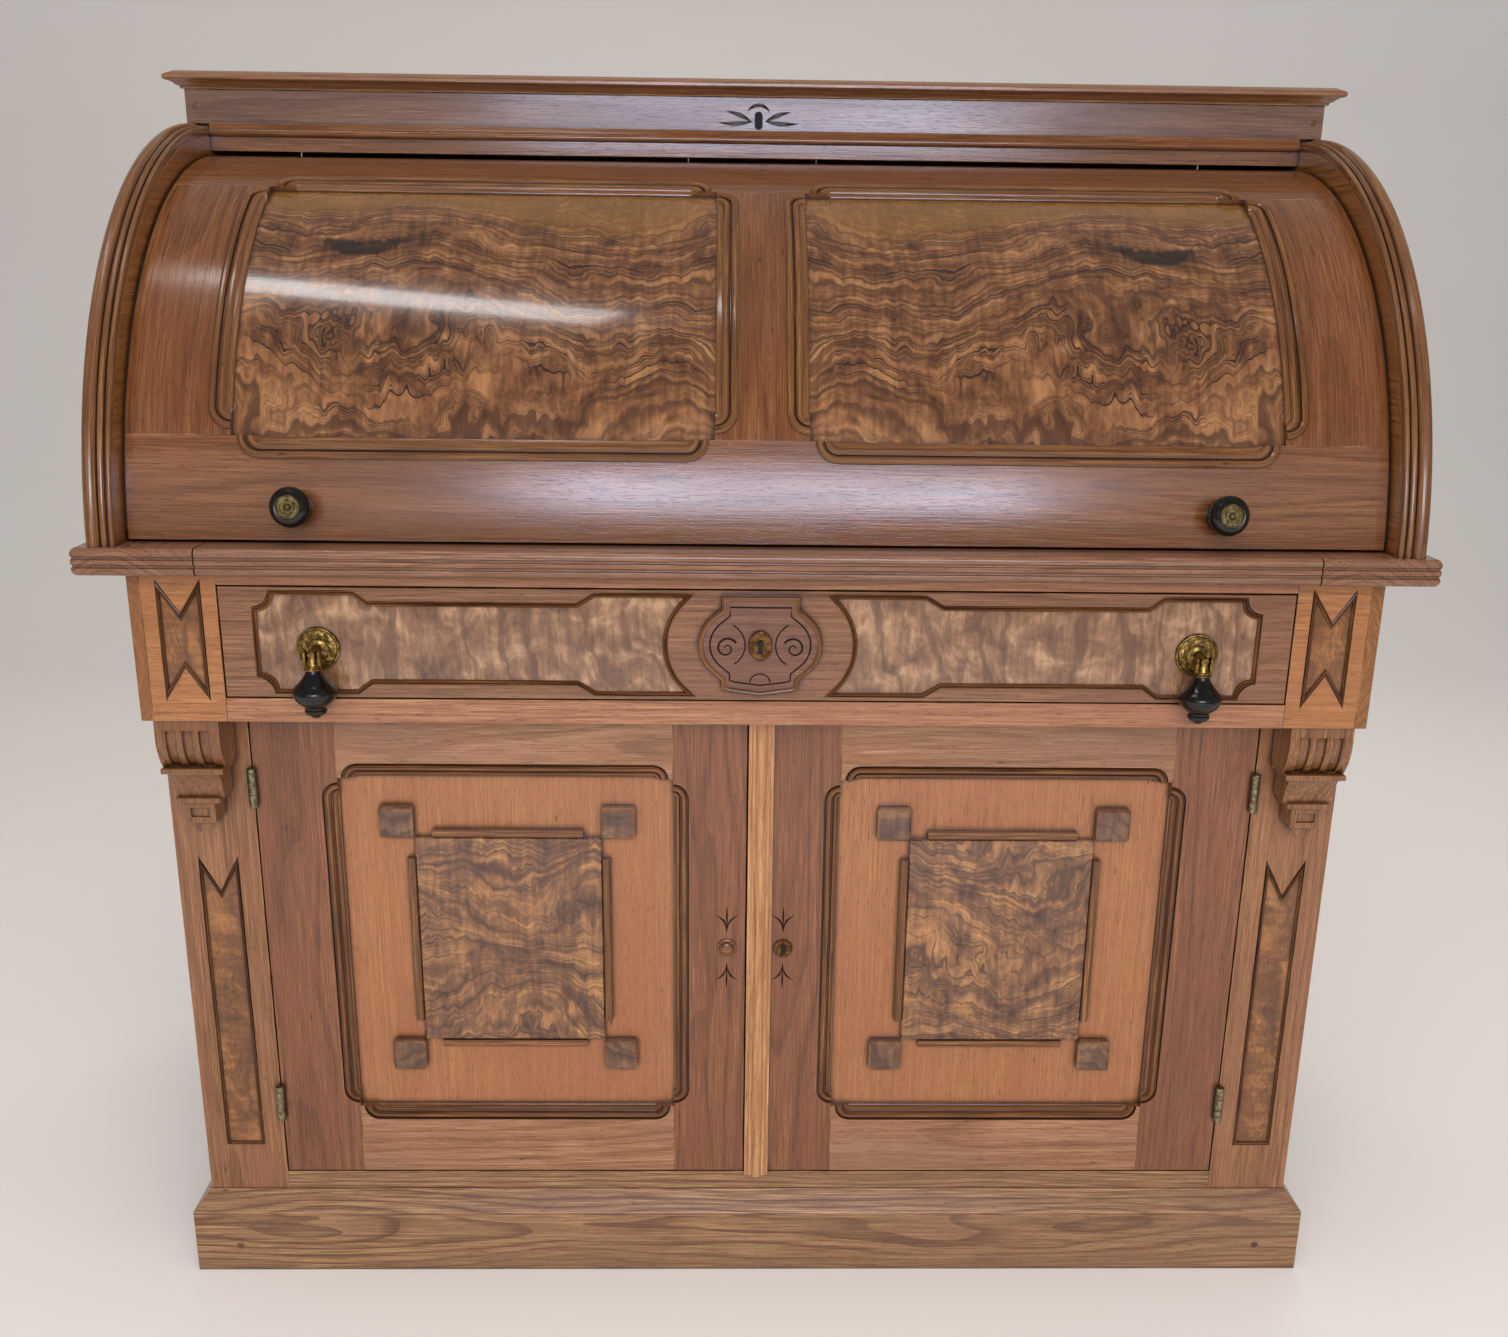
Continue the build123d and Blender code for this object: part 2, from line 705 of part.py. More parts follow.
def door_stiles(side, inner_edge):
    """Two upright stiles, the inner edges cut back to a stopped ledge for the moulding."""
    stile_height = door_top - door_bottom
    with BuildPart() as stiles:
        with Locations((side * (outer_joint + door_outer) / 2, post_y, door_bottom)):
            Box(door_outer - outer_joint, door_thick, stile_height, align=front_mid)
        with Locations((side * (inner_joint + inner_edge) / 2, post_y, door_bottom)):
            Box(inner_joint - inner_edge, door_thick, stile_height, align=front_mid)
        with BuildSketch(front_plane(post_y)):
            for x in (inner_joint - ledge_width / 2, outer_joint + ledge_width / 2):
                with Locations((side * x, field_mid_z)):
                    Rectangle(ledge_width, top_joint - bottom_joint - 2 * stop_length)
        extrude(amount=-ledge_depth, mode=Mode.SUBTRACT)
        with Locations(*[(side * (door_outer - leaf_thick / 2), post_y, z - hinge_height / 2) for z in hinge_zs]):
            Box(leaf_thick, leaf_depth, hinge_height, align=front_mid, mode=Mode.SUBTRACT)
    return stiles.part


def door_rails(side):
    """Top and bottom rails between the stiles, with the same stopped ledge."""
    with BuildPart() as rails:
        with Locations((side * field_mid_x, post_y, door_bottom)):
            Box(outer_joint - inner_joint, door_thick, bottom_joint - door_bottom, align=front_mid)
        with Locations((side * field_mid_x, post_y, top_joint)):
            Box(outer_joint - inner_joint, door_thick, door_top - top_joint, align=front_mid)
        with BuildSketch(front_plane(post_y)):
            for z in (bottom_joint - ledge_width / 2, top_joint + ledge_width / 2):
                with Locations((side * field_mid_x, z)):
                    Rectangle(outer_joint - inner_joint - 2 * stop_length, ledge_width)
        extrude(amount=-ledge_depth, mode=Mode.SUBTRACT)
    return rails.part


def door_field(side):
    """Straight-grained field that fills the frame behind the mouldings."""
    with BuildPart() as field:
        with Locations((side * field_mid_x, field_y, bottom_joint)):
            Box(outer_joint - inner_joint, field_thick, top_joint - bottom_joint, align=front_mid)
    return field.part


def door_burl(side):
    """Raised burl panel in the middle of the field, with a small bevel."""
    with BuildPart() as burl:
        with Locations((side * field_mid_x, field_y - burl_thick, mid_z - burl_half_h)):
            Box(2 * burl_half_w, burl_thick, 2 * burl_half_h, align=front_mid)
        chamfer(faces().sort_by(Axis.Y)[0].edges(), 1.2)
    return burl.part


def door_trim(side):
    """Four square studs, four beads round the burl and four mouldings on the ledges."""
    x0 = side * field_mid_x
    with BuildPart() as trim:
        with Locations(
            *[(x0 + a * stud_x, field_y - stud_thick, mid_z + b * stud_z - stud / 2) for a in (-1, 1) for b in (-1, 1)]
        ):
            Box(stud, stud_thick, stud, align=front_mid)
        chamfer(faces().filter_by(Axis.Y).group_by(Axis.Y)[0].edges(), 2.0)
        for b in (-1, 1):
            with BuildSketch(side_plane(x0 - bead_half_top)):
                with Locations((field_y - bead_thick / 2, mid_z + b * (burl_half_h + bead_width / 2))):
                    Rectangle(bead_thick, bead_width)
                fillet(vertices().group_by(Axis.Y)[0], bead_width / 2 - 0.2)
            extrude(amount=2 * bead_half_top)
        for a in (-1, 1):
            with BuildSketch(Plane.XY.offset(mid_z - bead_half_side)):
                with Locations((x0 + a * (burl_half_w + bead_width / 2), field_y - bead_thick / 2)):
                    Rectangle(bead_width, bead_thick)
                fillet(vertices().group_by(Axis.Y)[0], bead_width / 2 - 0.2)
            extrude(amount=2 * bead_half_side)
        for b, z in ((-1, bottom_joint), (1, top_joint)):
            with BuildSketch(side_plane(x0 - (outer_joint - inner_joint) / 2 + stop_length)):
                with BuildLine():
                    e1 = Line((post_y + ledge_depth, z), (post_y + ledge_depth, z + b * ledge_width))
                    e2 = Line(e1 @ 1, (post_y + 1, z + b * ledge_width))
                    e3 = ThreePointArc(e2 @ 1, (post_y + 2.2, z + b * ledge_width * 0.45), (post_y + 6, z + b * 2))
                    Line(e3 @ 1, (post_y + ledge_depth, z))
                make_face()
            extrude(amount=outer_joint - inner_joint - 2 * stop_length)
        for a, x in ((-1, inner_joint), (1, outer_joint)):
            with BuildSketch(Plane.XY.offset(bottom_joint + stop_length)):
                with BuildLine():
                    g1 = Line((side * x, post_y + ledge_depth), (side * (x + a * ledge_width), post_y + ledge_depth))
                    g2 = Line(g1 @ 1, (side * (x + a * ledge_width), post_y + 1))
                    g3 = ThreePointArc(
                        g2 @ 1,
                        (side * (x + a * ledge_width * 0.45), post_y + 2.2),
                        (side * (x + a * 2), post_y + 6),
                    )
                    Line(g3 @ 1, (side * x, post_y + ledge_depth))
                make_face()
            extrude(amount=top_joint - bottom_joint - 2 * stop_length)
    return trim.part


third = (hinge_height - 2 * knuckle_gap) / 3


def hinge_door(side):
    """Door leaves of two butts, each with its two outer knuckles bored for the pin."""
    with BuildPart() as leaves:
        for z in hinge_zs:
            with Locations((side * (door_outer - leaf_thick / 2), hinge_y, z - hinge_height / 2)):
                Box(leaf_thick, leaf_depth + post_y - hinge_y, hinge_height, align=front_mid)
            with Locations((side * hinge_x, hinge_y, z - third / 2 - knuckle_gap)):
                Box(2 * knuckle_radius + 2, 2 * knuckle_radius + 2, third + 2 * knuckle_gap, align=upright, mode=Mode.SUBTRACT)
            for low in (z - hinge_height / 2, z + hinge_height / 2 - third):
                with Locations((side * hinge_x, hinge_y, low)):
                    Cylinder(knuckle_radius, third, align=upright)
            with Locations((side * hinge_x, hinge_y, z - hinge_height / 2)):
                Cylinder(pin_radius + pin_clearance, hinge_height, align=upright, mode=Mode.SUBTRACT)
    return leaves.part


save(door_stiles(-1, -astragal_left + meeting_gap), "door_left_stiles")
save(door_stiles(1, astragal_left), "door_right_stiles")
for side, name in ((-1, "left"), (1, "right")):
    save(door_rails(side), f"door_{name}_rails")
    save(door_field(side), f"door_{name}_field")
    save(door_burl(side), f"door_{name}_burl")
    save(door_trim(side), f"door_{name}_trim")
    save(hinge_door(side), f"door_{name}_hinges")

# Post leaves: the middle knuckle carries the pin.
with BuildPart() as hinge_posts:
    for side in (-1, 1):
        for z in hinge_zs:
            with Locations((side * (post_inner + leaf_thick / 2), hinge_y, z - hinge_height / 2)):
                Box(leaf_thick, leaf_depth + post_y - hinge_y, hinge_height, align=front_mid)
            for low in (z - hinge_height / 2, z + hinge_height / 2 - third - knuckle_gap):
                with Locations((side * hinge_x, hinge_y, low)):
                    Box(
                        2 * knuckle_radius + 2,
                        2 * knuckle_radius + 2,
                        third + knuckle_gap,
                        align=upright,
                        mode=Mode.SUBTRACT,
                    )
            with Locations((side * hinge_x, hinge_y, z - third / 2)):
                Cylinder(knuckle_radius, third, align=upright)
            with Locations((side * hinge_x, hinge_y, z - hinge_height / 2 - 1)):
                Cylinder(pin_radius, hinge_height + 2, align=upright)
save(hinge_posts.part, "hinge_posts")

# Astragal: a half-round bead between two fillets on the right door's meeting edge.
astragal_low = door_bottom - 4.0
astragal_thick = 8.0
with BuildPart() as astragal:
    with BuildSketch(Plane.XY.offset(astragal_low)):
        with Locations((astragal_left + astragal_width / 2, post_y - 1.5)):
            Rectangle(astragal_width, 3)
        with Locations((astragal_left + astragal_width / 2, post_y - 2.2)):
            Rectangle(17, 4.4)
        with Locations((astragal_left + astragal_width / 2, post_y)):
            Ellipse(6.5, astragal_thick)
        with Locations((astragal_left + astragal_width / 2, post_y)):
            Rectangle(30, 20, align=(Align.CENTER, Align.MIN), mode=Mode.SUBTRACT)
    extrude(amount=door_top - 1 - astragal_low)
save(astragal.part, "astragal")

# Turned plug on the left door and the round lock plate with its lock on the right door.
lock_x = 27.5
lock_z = (door_bottom + door_top) / 2 + 5.0
with BuildPart() as door_plug:
    with BuildSketch(Plane(origin=(-lock_x, post_y, lock_z), x_dir=(1, 0, 0), z_dir=(0, 0, 1))):
        with BuildLine():
            p1 = Line((0, 0), (9.5, 0))
            p2 = Line(p1 @ 1, (9.5, -1.5))
            p3 = Line(p2 @ 1, (7.5, -2))
            p4 = ThreePointArc(p3 @ 1, dome(0, -2, 7.5, 3.6), (0, -5.6))
            Line(p4 @ 1, (0, 0))
        make_face()
    revolve(axis=Axis((-lock_x, post_y, lock_z), (0, 1, 0)))
save(door_plug.part, "door_plug")

with BuildPart() as door_lock:
    with BuildSketch(front_plane(post_y)):
        with Locations((lock_x, lock_z)):
            Circle(9.4)
        with Locations((lock_x, lock_z + 2.5)):
            Circle(2.8, mode=Mode.SUBTRACT)
        with Locations((lock_x, lock_z - 2.5)):
            Rectangle(3, 9, mode=Mode.SUBTRACT)
    extrude(amount=1.6)
    fillet(faces().sort_by(Axis.Y)[0].outer_wire().edges(), 0.8)
    with Locations((lock_x, post_y + door_thick, lock_z - 32)):
        Box(42, 11, 64, align=front_mid)
save(door_lock.part, "door_lock")

# ---------------------------------------------------------------- deck and writing slide

deck_half = case_half + deck_over_side
deck_y = face_y - deck_over_front
reed_zs = (frieze_top + 8.5, frieze_top + 15.5)
with BuildPart() as deck_ends:
    with Locations((slide_half + slide_gap, deck_y, frieze_top)):
        Box(deck_half - slide_half - slide_gap, side_back - deck_y, deck_thick, align=front_left)
    fillet(edges().filter_by(Axis.Z).sort_by(lambda e: e.center().X - e.center().Y)[-1], 3)
    fillet(faces().sort_by(Axis.Y)[0].edges().filter_by(Axis.X), 5)
    for z in reed_zs:
        with Locations(Location((slide_half, deck_y, z), (0, 90, 0))):
            Cylinder(reed_groove, 400, mode=Mode.SUBTRACT)
        with Locations(Location((deck_half, deck_y, z), (90, 0, 0))):
            Cylinder(reed_groove, 3000, mode=Mode.SUBTRACT)
    mirror(about=Plane.YZ)
save(deck_ends.part, "deck_ends")

slide_back = deck_y + slide_depth
with BuildPart() as deck_rear:
    with Locations((0, slide_back + slide_gap, frieze_top)):
        Box(2 * (slide_half + slide_gap), side_back - slide_back - slide_gap, deck_thick, align=front_mid)
save(deck_rear.part, "deck_rear")

# The slide: a clamped board with a reeded front edge and a sunk writing surface.
inset_half = slide_half - 49.5
inset_front = face_y + 52.0
inset_depth = slide_depth - 136.0
inset_thick = 1.2
with BuildPart() as slide_top:
    with Locations((0, deck_y, frieze_top + slide_lift)):
        Box(2 * slide_half, slide_depth, deck_thick - slide_lift, align=front_mid)
    fillet(faces().sort_by(Axis.Y)[0].edges().filter_by(Axis.X), 5)
    for z in reed_zs:
        with Locations(Location((0, deck_y, z), (0, 90, 0))):
            Cylinder(reed_groove, 3000, mode=Mode.SUBTRACT)
    with Locations((0, inset_front, writing_height - inset_thick)):
        Box(2 * inset_half, inset_depth, 10, align=front_mid, mode=Mode.SUBTRACT)
save(slide_top.part, "slide_top")

with BuildPart() as slide_inset:
    with Locations((0, inset_front, writing_height - inset_thick)):
        Box(2 * inset_half, inset_depth, inset_thick, align=front_mid)
save(slide_inset.part, "slide_inset")

# ---------------------------------------------------------------- end panels

edge_thick = 11.0
panel_radius = end_radius - edge_thick
end_start = degrees(asin((writing_height - pivot_z) / end_radius))
panel_rise = writing_height - pivot_z
panel_low_y = pivot_y - sqrt(panel_radius**2 - panel_rise**2)
groove_radius = fall_radius - fall_thick / 2
groove_deep = tongue_reach + tongue_gap
groove_start = degrees(asin((writing_height - pivot_z) / groove_radius)) + 0.6
groove_end = fall_top_angle + fall_travel + 1.5
diagonal = radians(45)
with BuildPart() as end_panels:
    with BuildSketch(side_plane(end_inner)):
        with BuildLine():
            n1 = Line((side_back, writing_height), (panel_low_y, writing_height))
            n2 = ThreePointArc(
                n1 @ 1,
                (pivot_y - panel_radius * cos(diagonal), pivot_z + panel_radius * sin(diagonal)),
                (pivot_y, pivot_z + panel_radius),
            )
            n3 = Line(n2 @ 1, (pivot_y, box_bottom))
            n4 = Line(n3 @ 1, (side_back, box_bottom))
            Line(n4 @ 1, n1 @ 0)
        make_face()
    extrude(amount=end_thick)
    with BuildSketch(fall_plane(groove_start)):
        with Locations((end_inner + groove_deep / 2, groove_radius)):
            Rectangle(groove_deep, tongue_thick + 2 * tongue_gap)
    revolve(axis=fall_axis, revolution_arc=groove_end - groove_start, mode=Mode.SUBTRACT)
    mirror(about=Plane.YZ)
save(end_panels.part, "end_panels")

# Reeded moulding bent round the front edge of each end panel.
with BuildPart() as edge_mouldings:
    with BuildSketch(fall_plane(end_start - 1)):
        with Locations(((end_inner + end_outer) / 2, panel_radius + 2.5)):
            Rectangle(end_thick, 5)
        with Locations((end_outer - 6.5, end_radius - 6.5)):
            Circle(6.5)
        with Locations((end_outer - 16, end_radius - 5)):
            Circle(3)
        with Locations((end_inner + 2.4, end_radius - 5.4)):
            Circle(2.4)
        with Locations(((end_inner + end_outer) / 2, panel_radius)):
            Rectangle(end_thick, 20, align=(Align.CENTER, Align.MAX), mode=Mode.SUBTRACT)
    revolve(axis=fall_axis, revolution_arc=91 - end_start)
    split(bisect_by=Plane.XY.offset(writing_height), keep=Keep.TOP)
    mirror(about=Plane.YZ)
save(edge_mouldings.part, "edge_mouldings")

# ---------------------------------------------------------------- fall

fall_low_gap = 0.8
fall_low_angle = degrees(asin((writing_height + fall_low_gap - pivot_z) / (fall_radius - fall_thick)))
fall_centre_half = 41.0
fall_panel_end = fall_half - 90.0
moulding_deep = 5.0
stop_run = 20.0
stop_angle = degrees(stop_run / fall_radius)
moulding_angle = degrees(moulding_width / fall_radius)
fall_mid_radius = fall_radius - fall_thick / 2
cut_radius = fall_radius - moulding_deep / 2

# Full-width rails above and below, with stopped ledges along the panels.
with BuildPart() as fall_rails:
    with BuildSketch(fall_plane(fall_low_angle)):
        with Locations((0, fall_mid_radius)):
            Rectangle(2 * fall_half, fall_thick)
    revolve(axis=fall_axis, revolution_arc=fall_panel_low - fall_low_angle)
    with BuildSketch(fall_plane(fall_panel_high)):
        with Locations((0, fall_mid_radius)):
            Rectangle(2 * fall_half, fall_thick)
    revolve(axis=fall_axis, revolution_arc=fall_top_angle - fall_panel_high)
    strip_mid = (fall_centre_half + fall_panel_end) / 2
    strip_length = fall_panel_end - fall_centre_half - 2 * stop_run
    for start in (fall_panel_low - moulding_angle, fall_panel_high):
        with BuildSketch(fall_plane(start)):
            with Locations((-strip_mid, cut_radius), (strip_mid, cut_radius)):
                Rectangle(strip_length, moulding_deep)
        revolve(axis=fall_axis, revolution_arc=moulding_angle, mode=Mode.SUBTRACT)
save(fall_rails.part, "fall_rails")

upright_start = fall_panel_low + stop_angle
upright_run = fall_panel_high - fall_panel_low - 2 * stop_angle
upright_xs = (
    -fall_panel_end - moulding_width / 2,
    -fall_centre_half + moulding_width / 2,
    fall_centre_half - moulding_width / 2,
    fall_panel_end + moulding_width / 2,
)
with BuildPart() as fall_stiles:
    with BuildSketch(fall_plane(fall_panel_low)):
        with Locations((0, fall_mid_radius)):
            Rectangle(2 * fall_centre_half, fall_thick)
        with Locations(
            (-(fall_panel_end + fall_half) / 2, fall_mid_radius),
            ((fall_panel_end + fall_half) / 2, fall_mid_radius),
        ):
            Rectangle(fall_half - fall_panel_end, fall_thick)
    revolve(axis=fall_axis, revolution_arc=fall_panel_high - fall_panel_low)
    with BuildSketch(fall_plane(upright_start)):
        with Locations(*[(x, cut_radius) for x in upright_xs]):
            Rectangle(moulding_width, moulding_deep)
    revolve(axis=fall_axis, revolution_arc=upright_run, mode=Mode.SUBTRACT)
save(fall_stiles.part, "fall_stiles")

# Two curved burl panels, a little below the frame.
with BuildPart() as fall_burls:
    with BuildSketch(fall_plane(fall_panel_low)):
        for side in (-1, 1):
            with Locations((side * strip_mid, fall_radius - 11)):
                Rectangle(fall_panel_end - fall_centre_half, 10)
    revolve(axis=fall_axis, revolution_arc=fall_panel_high - fall_panel_low)
save(fall_burls.part, "fall_burls")

# Mouldings on the ledges: a bead that rises to the frame and a slope down to the panel.
with BuildPart() as fall_mouldings:
    with BuildSketch(fall_plane(upright_start)):
        for x, a in zip(upright_xs, (-1, 1, -1, 1)):
            outer = x + a * moulding_width / 2
            inner = x - a * moulding_width / 2
            with BuildLine():
                r0 = fall_radius - moulding_deep
                h1 = Line((inner, r0), (outer, r0))
                h2 = Line(h1 @ 1, (outer, fall_radius - 1.5))
                h3 = ThreePointArc(h2 @ 1, (outer - a * 5, fall_radius + 1.2), (outer - a * 10, fall_radius - 1.5))
                h4 = Line(h3 @ 1, (inner, r0 + 0.8))
                Line(h4 @ 1, (inner, r0))
            make_face()
    revolve(axis=fall_axis, revolution_arc=upright_run)
    r0 = fall_radius - moulding_deep
    for start, a in ((fall_panel_low, -1), (fall_panel_high, 1)):
        for side in (-1, 1):
            with BuildSketch(side_plane(side * strip_mid - strip_length / 2)):
                with BuildLine():
                    near = radians(start)
                    mid = radians(start + a * moulding_angle / 2)
                    crest = radians(start + a * moulding_angle * 0.75)
                    far = radians(start + a * moulding_angle)
                    ring = [
                        (near, r0),
                        (near, r0 + 0.8),
                        (mid, fall_radius - 1.5),
                        (crest, fall_radius + 1.2),
                        (far, fall_radius - 1.5),
                        (far, r0),
                    ]
                    pts = [(pivot_y - r * cos(t), pivot_z + r * sin(t)) for t, r in ring]
                    k1 = Line(pts[0], pts[1])
                    k2 = Line(pts[1], pts[2])
                    k3 = ThreePointArc(pts[2], pts[3], pts[4])
                    k4 = Line(pts[4], pts[5])
                    half_turn = (near + far) / 2
                    ThreePointArc(
                        pts[5],
                        (pivot_y - r0 * cos(half_turn), pivot_z + r0 * sin(half_turn)),
                        pts[0],
                    )
                make_face()
            extrude(amount=strip_length)
save(fall_mouldings.part, "fall_mouldings")

# Tongues on the fall's ends that run in the grooves of the end panels.
with BuildPart() as fall_tongues:
    with BuildSketch(fall_plane(fall_low_angle + 1.0)):
        for side in (-1, 1):
            with Locations((side * (fall_half + (fall_side_gap + tongue_reach) / 2), groove_radius)):
                Rectangle(fall_side_gap + tongue_reach, tongue_thick)
    revolve(axis=fall_axis, revolution_arc=fall_top_angle - fall_low_angle - 2.0)
save(fall_tongues.part, "fall_tongues")

# Two turned knobs on the bottom rail with an inlaid disc in each.
knob_x = fall_half - 146.0
knob_angle = 8.9
knob_turn = radians(knob_angle)
knob_out = (0, -cos(knob_turn), sin(knob_turn))
disc_radius = 10.5
disc_thick = 1.2
with BuildPart() as knobs:
    for side in (-1, 1):
        with BuildSketch(fall_plane(knob_angle)):
            with BuildLine():
                x = side * knob_x
                r = fall_radius
                q1 = Line((x, r - 0.5), (x + 13, r - 0.5))
                q2 = Line(q1 @ 1, (x + 13, r + 2.5))
                q3 = Spline(q2 @ 1, (x + 8.2, r + 7), (x + 9, r + 12), (x + 16, r + 18))
                q4 = ThreePointArc(q3 @ 1, (x + 17.4, r + 24), (x + 12, r + 30.5))
                q5 = Line(q4 @ 1, (x + disc_radius, r + 31.5))
                q6 = Line(q5 @ 1, (x + disc_radius, r + 31.5 - disc_thick))
                q7 = Line(q6 @ 1, (x, r + 31.5 - disc_thick))
                Line(q7 @ 1, (x, r - 0.5))
            make_face()
        revolve(axis=Axis((side * knob_x, pivot_y, pivot_z), knob_out))
    with BuildSketch(fall_plane(fall_low_angle)):
        with Locations((0, fall_mid_radius)):
            Rectangle(2 * fall_half, fall_thick)
    revolve(axis=fall_axis, revolution_arc=fall_panel_low - fall_low_angle, mode=Mode.SUBTRACT)
save(knobs.part, "knobs")

with BuildPart() as knob_discs:
    for side in (-1, 1):
        with BuildSketch(fall_plane(knob_angle)):
            with BuildLine():
                s0 = fall_radius + 31.5 - disc_thick
                t1 = Line((side * knob_x, s0), (side * knob_x + disc_radius, s0))
                t2 = Line(t1 @ 1, (side * knob_x + disc_radius, s0 + disc_thick))
                t3 = Line(t2 @ 1, (side * knob_x + 2.4, s0 + disc_thick + 0.5))
                t4 = Line(t3 @ 1, (side * knob_x + 2.4, s0 + disc_thick + 1.6))
                t5 = Line(t4 @ 1, (side * knob_x, s0 + disc_thick + 2.2))
                Line(t5 @ 1, (side * knob_x, s0))
            make_face()
        revolve(axis=Axis((side * knob_x, pivot_y, pivot_z), knob_out))
save(knob_discs.part, "knob_discs")

# ---------------------------------------------------------------- top box

# Rails between the end panels that close the top of the fall's opening.
head_y = pivot_y - 22.0
head_low = box_bottom - head_mould_height - head_rail_height
with BuildPart() as head_rail:
    with Locations((0, head_y, head_low)):
        Box(2 * end_inner, 22, head_rail_height, align=front_mid)
    with BuildSketch(side_plane(-end_inner)):
        with BuildLine():
            u0 = head_low + head_rail_height
            u1 = Line((head_y + 22, u0), (head_y, u0))
            u2 = ThreePointArc(u1 @ 1, (head_y - 4, u0 + 4), (head_y, u0 + 8))
            u3 = Line(u2 @ 1, (head_y + 2, u0 + head_mould_height))
            u4 = Line(u3 @ 1, (head_y + 22, u0 + head_mould_height))
            Line(u4 @ 1, u1 @ 0)
        make_face()
    extrude(amount=2 * end_inner)
save(head_rail.part, "head_rail")

with BuildPart() as box_boards:
    with Locations((0, box_y, box_bottom)):
        Box(2 * end_outer, box_thick, box_height, align=front_mid)
    for x in (-end_outer, end_outer - box_thick):
        with Locations((x, box_y + box_thick + glue, box_bottom)):
            Box(box_thick, back_y - box_y - box_thick - glue, box_height, align=front_left)
    with Locations((0, side_back, box_bottom)):
        Box(2 * (end_outer - box_thick - glue), back_thick, box_height, align=front_mid)
save(box_boards.part, "box_boards")

# Fall lock: keyhole plate let on the fascia and the lock case behind it.
fall_lock_z = box_bottom + 10.0
with BuildPart() as fall_lock:
    with BuildSketch(front_plane(box_y)):
        with Locations((0, fall_lock_z)):
            SlotOverall(17, 8, rotation=90)
        with Locations((0, fall_lock_z + 3)):
            Circle(2.2, mode=Mode.SUBTRACT)
        with Locations((0, fall_lock_z - 2)):
            Rectangle(2.2, 8, mode=Mode.SUBTRACT)
    extrude(amount=1.0)
    with Locations((0, box_y + box_thick, box_bottom)):
        Box(58, 10, 28, align=front_mid)
save(fall_lock.part, "fall_lock")

with BuildPart() as top_board:
    with Locations((0, box_y, box_top)):
        Box(2 * end_outer, back_y - box_y, cornice_height, align=front_mid)
save(top_board.part, "top_board")

# Cornice moulding, mitred round the front corners.
cornice_profile = (
    (0, 0),
    (3, 0),
    (3, 2),
    (6, 3),
    (9, 5.5),
    (11, 6.5),
    (14.5, 7),
    (cornice_over, 8.5),
    (cornice_over, 11),
    (14.5, 12.3),
    (7, cornice_height),
    (0, cornice_height),
)
box_mitre = Plane(origin=(end_outer, box_y, 0), z_dir=(1, 1, 0))
box_mitre_right = Plane(origin=(end_outer - mitre_gap, box_y, 0), z_dir=(1, 1, 0))
box_mitre_left = Plane(origin=(mitre_gap - end_outer, box_y, 0), z_dir=(-1, 1, 0))
with BuildPart() as cornice_front:
    with BuildSketch(side_plane(-end_outer - cornice_over)):
        with BuildLine():
            Polyline(*[(box_y - o, box_top + h) for o, h in cornice_profile], close=True)
        make_face()
    extrude(amount=2 * (end_outer + cornice_over))
    split(bisect_by=box_mitre_right, keep=Keep.BOTTOM)
    split(bisect_by=box_mitre_left, keep=Keep.BOTTOM)
with BuildPart() as cornice_right:
    with BuildSketch(front_plane(box_y - cornice_over)):
        with BuildLine():
            Polyline(*[(end_outer + o, box_top + h) for o, h in cornice_profile], close=True)
        make_face()
    extrude(amount=-(back_y - box_y + cornice_over))
    split(bisect_by=box_mitre, keep=Keep.TOP)
with BuildPart() as cornice:
    add(cornice_front)
    add(cornice_right)
    add(mirror(cornice_right.part, about=Plane.YZ))
save(cornice.part, "cornice")

# ---------------------------------------------------------------- pigeonholes

unit_low = writing_height + unit_lift
unit_top = unit_low + unit_height
shelf_z = unit_low + 83.7
thin = 6.0
centre_half = 184.0
centre_shelf_z = unit_low + 142.7
wall_low = unit_low + unit_board + glue
wall_height = unit_height - 2 * unit_board - 2 * glue
bay_width = unit_half - unit_board - centre_half
bay_low = shelf_z + thin + glue
bay_height = unit_top - unit_board - glue - bay_low
unit_back = unit_y + unit_depth - thin
with BuildPart() as pigeonholes:
    with Locations((0, unit_y, unit_low), (0, unit_y, unit_top - unit_board)):
        Box(2 * unit_half, unit_depth, unit_board, align=front_mid)
    with Locations((0, unit_back, wall_low)):
        Box(2 * (unit_half - unit_board - glue), thin, wall_height, align=front_mid)
    for side in (-1, 1):
        with Locations((side * (unit_half - unit_board / 2), unit_y, wall_low)):
            Box(unit_board, unit_depth, wall_height, align=front_mid)
        with Locations((side * (centre_half - unit_board / 2), unit_y, wall_low)):
            Box(unit_board, unit_depth - thin - glue, wall_height, align=front_mid)
        with Locations((side * (centre_half + bay_width / 2), unit_y, shelf_z)):
            Box(bay_width - 2 * glue, unit_depth - thin - glue, thin, align=front_mid)
        with Locations(*[(side * (centre_half + n * bay_width / 4), unit_y + 8, bay_low) for n in (1, 2, 3)]):
            Box(thin, unit_depth - thin - 8 - glue, bay_height, align=front_mid)
    with Locations((0, unit_y + 8, centre_shelf_z)):
        Box(2 * (centre_half - unit_board - glue), unit_depth - thin - 8 - glue, thin, align=front_mid)
save(pigeonholes.part, "pigeonholes")

small_gap = 1.0
small_depth = unit_depth - 30.0


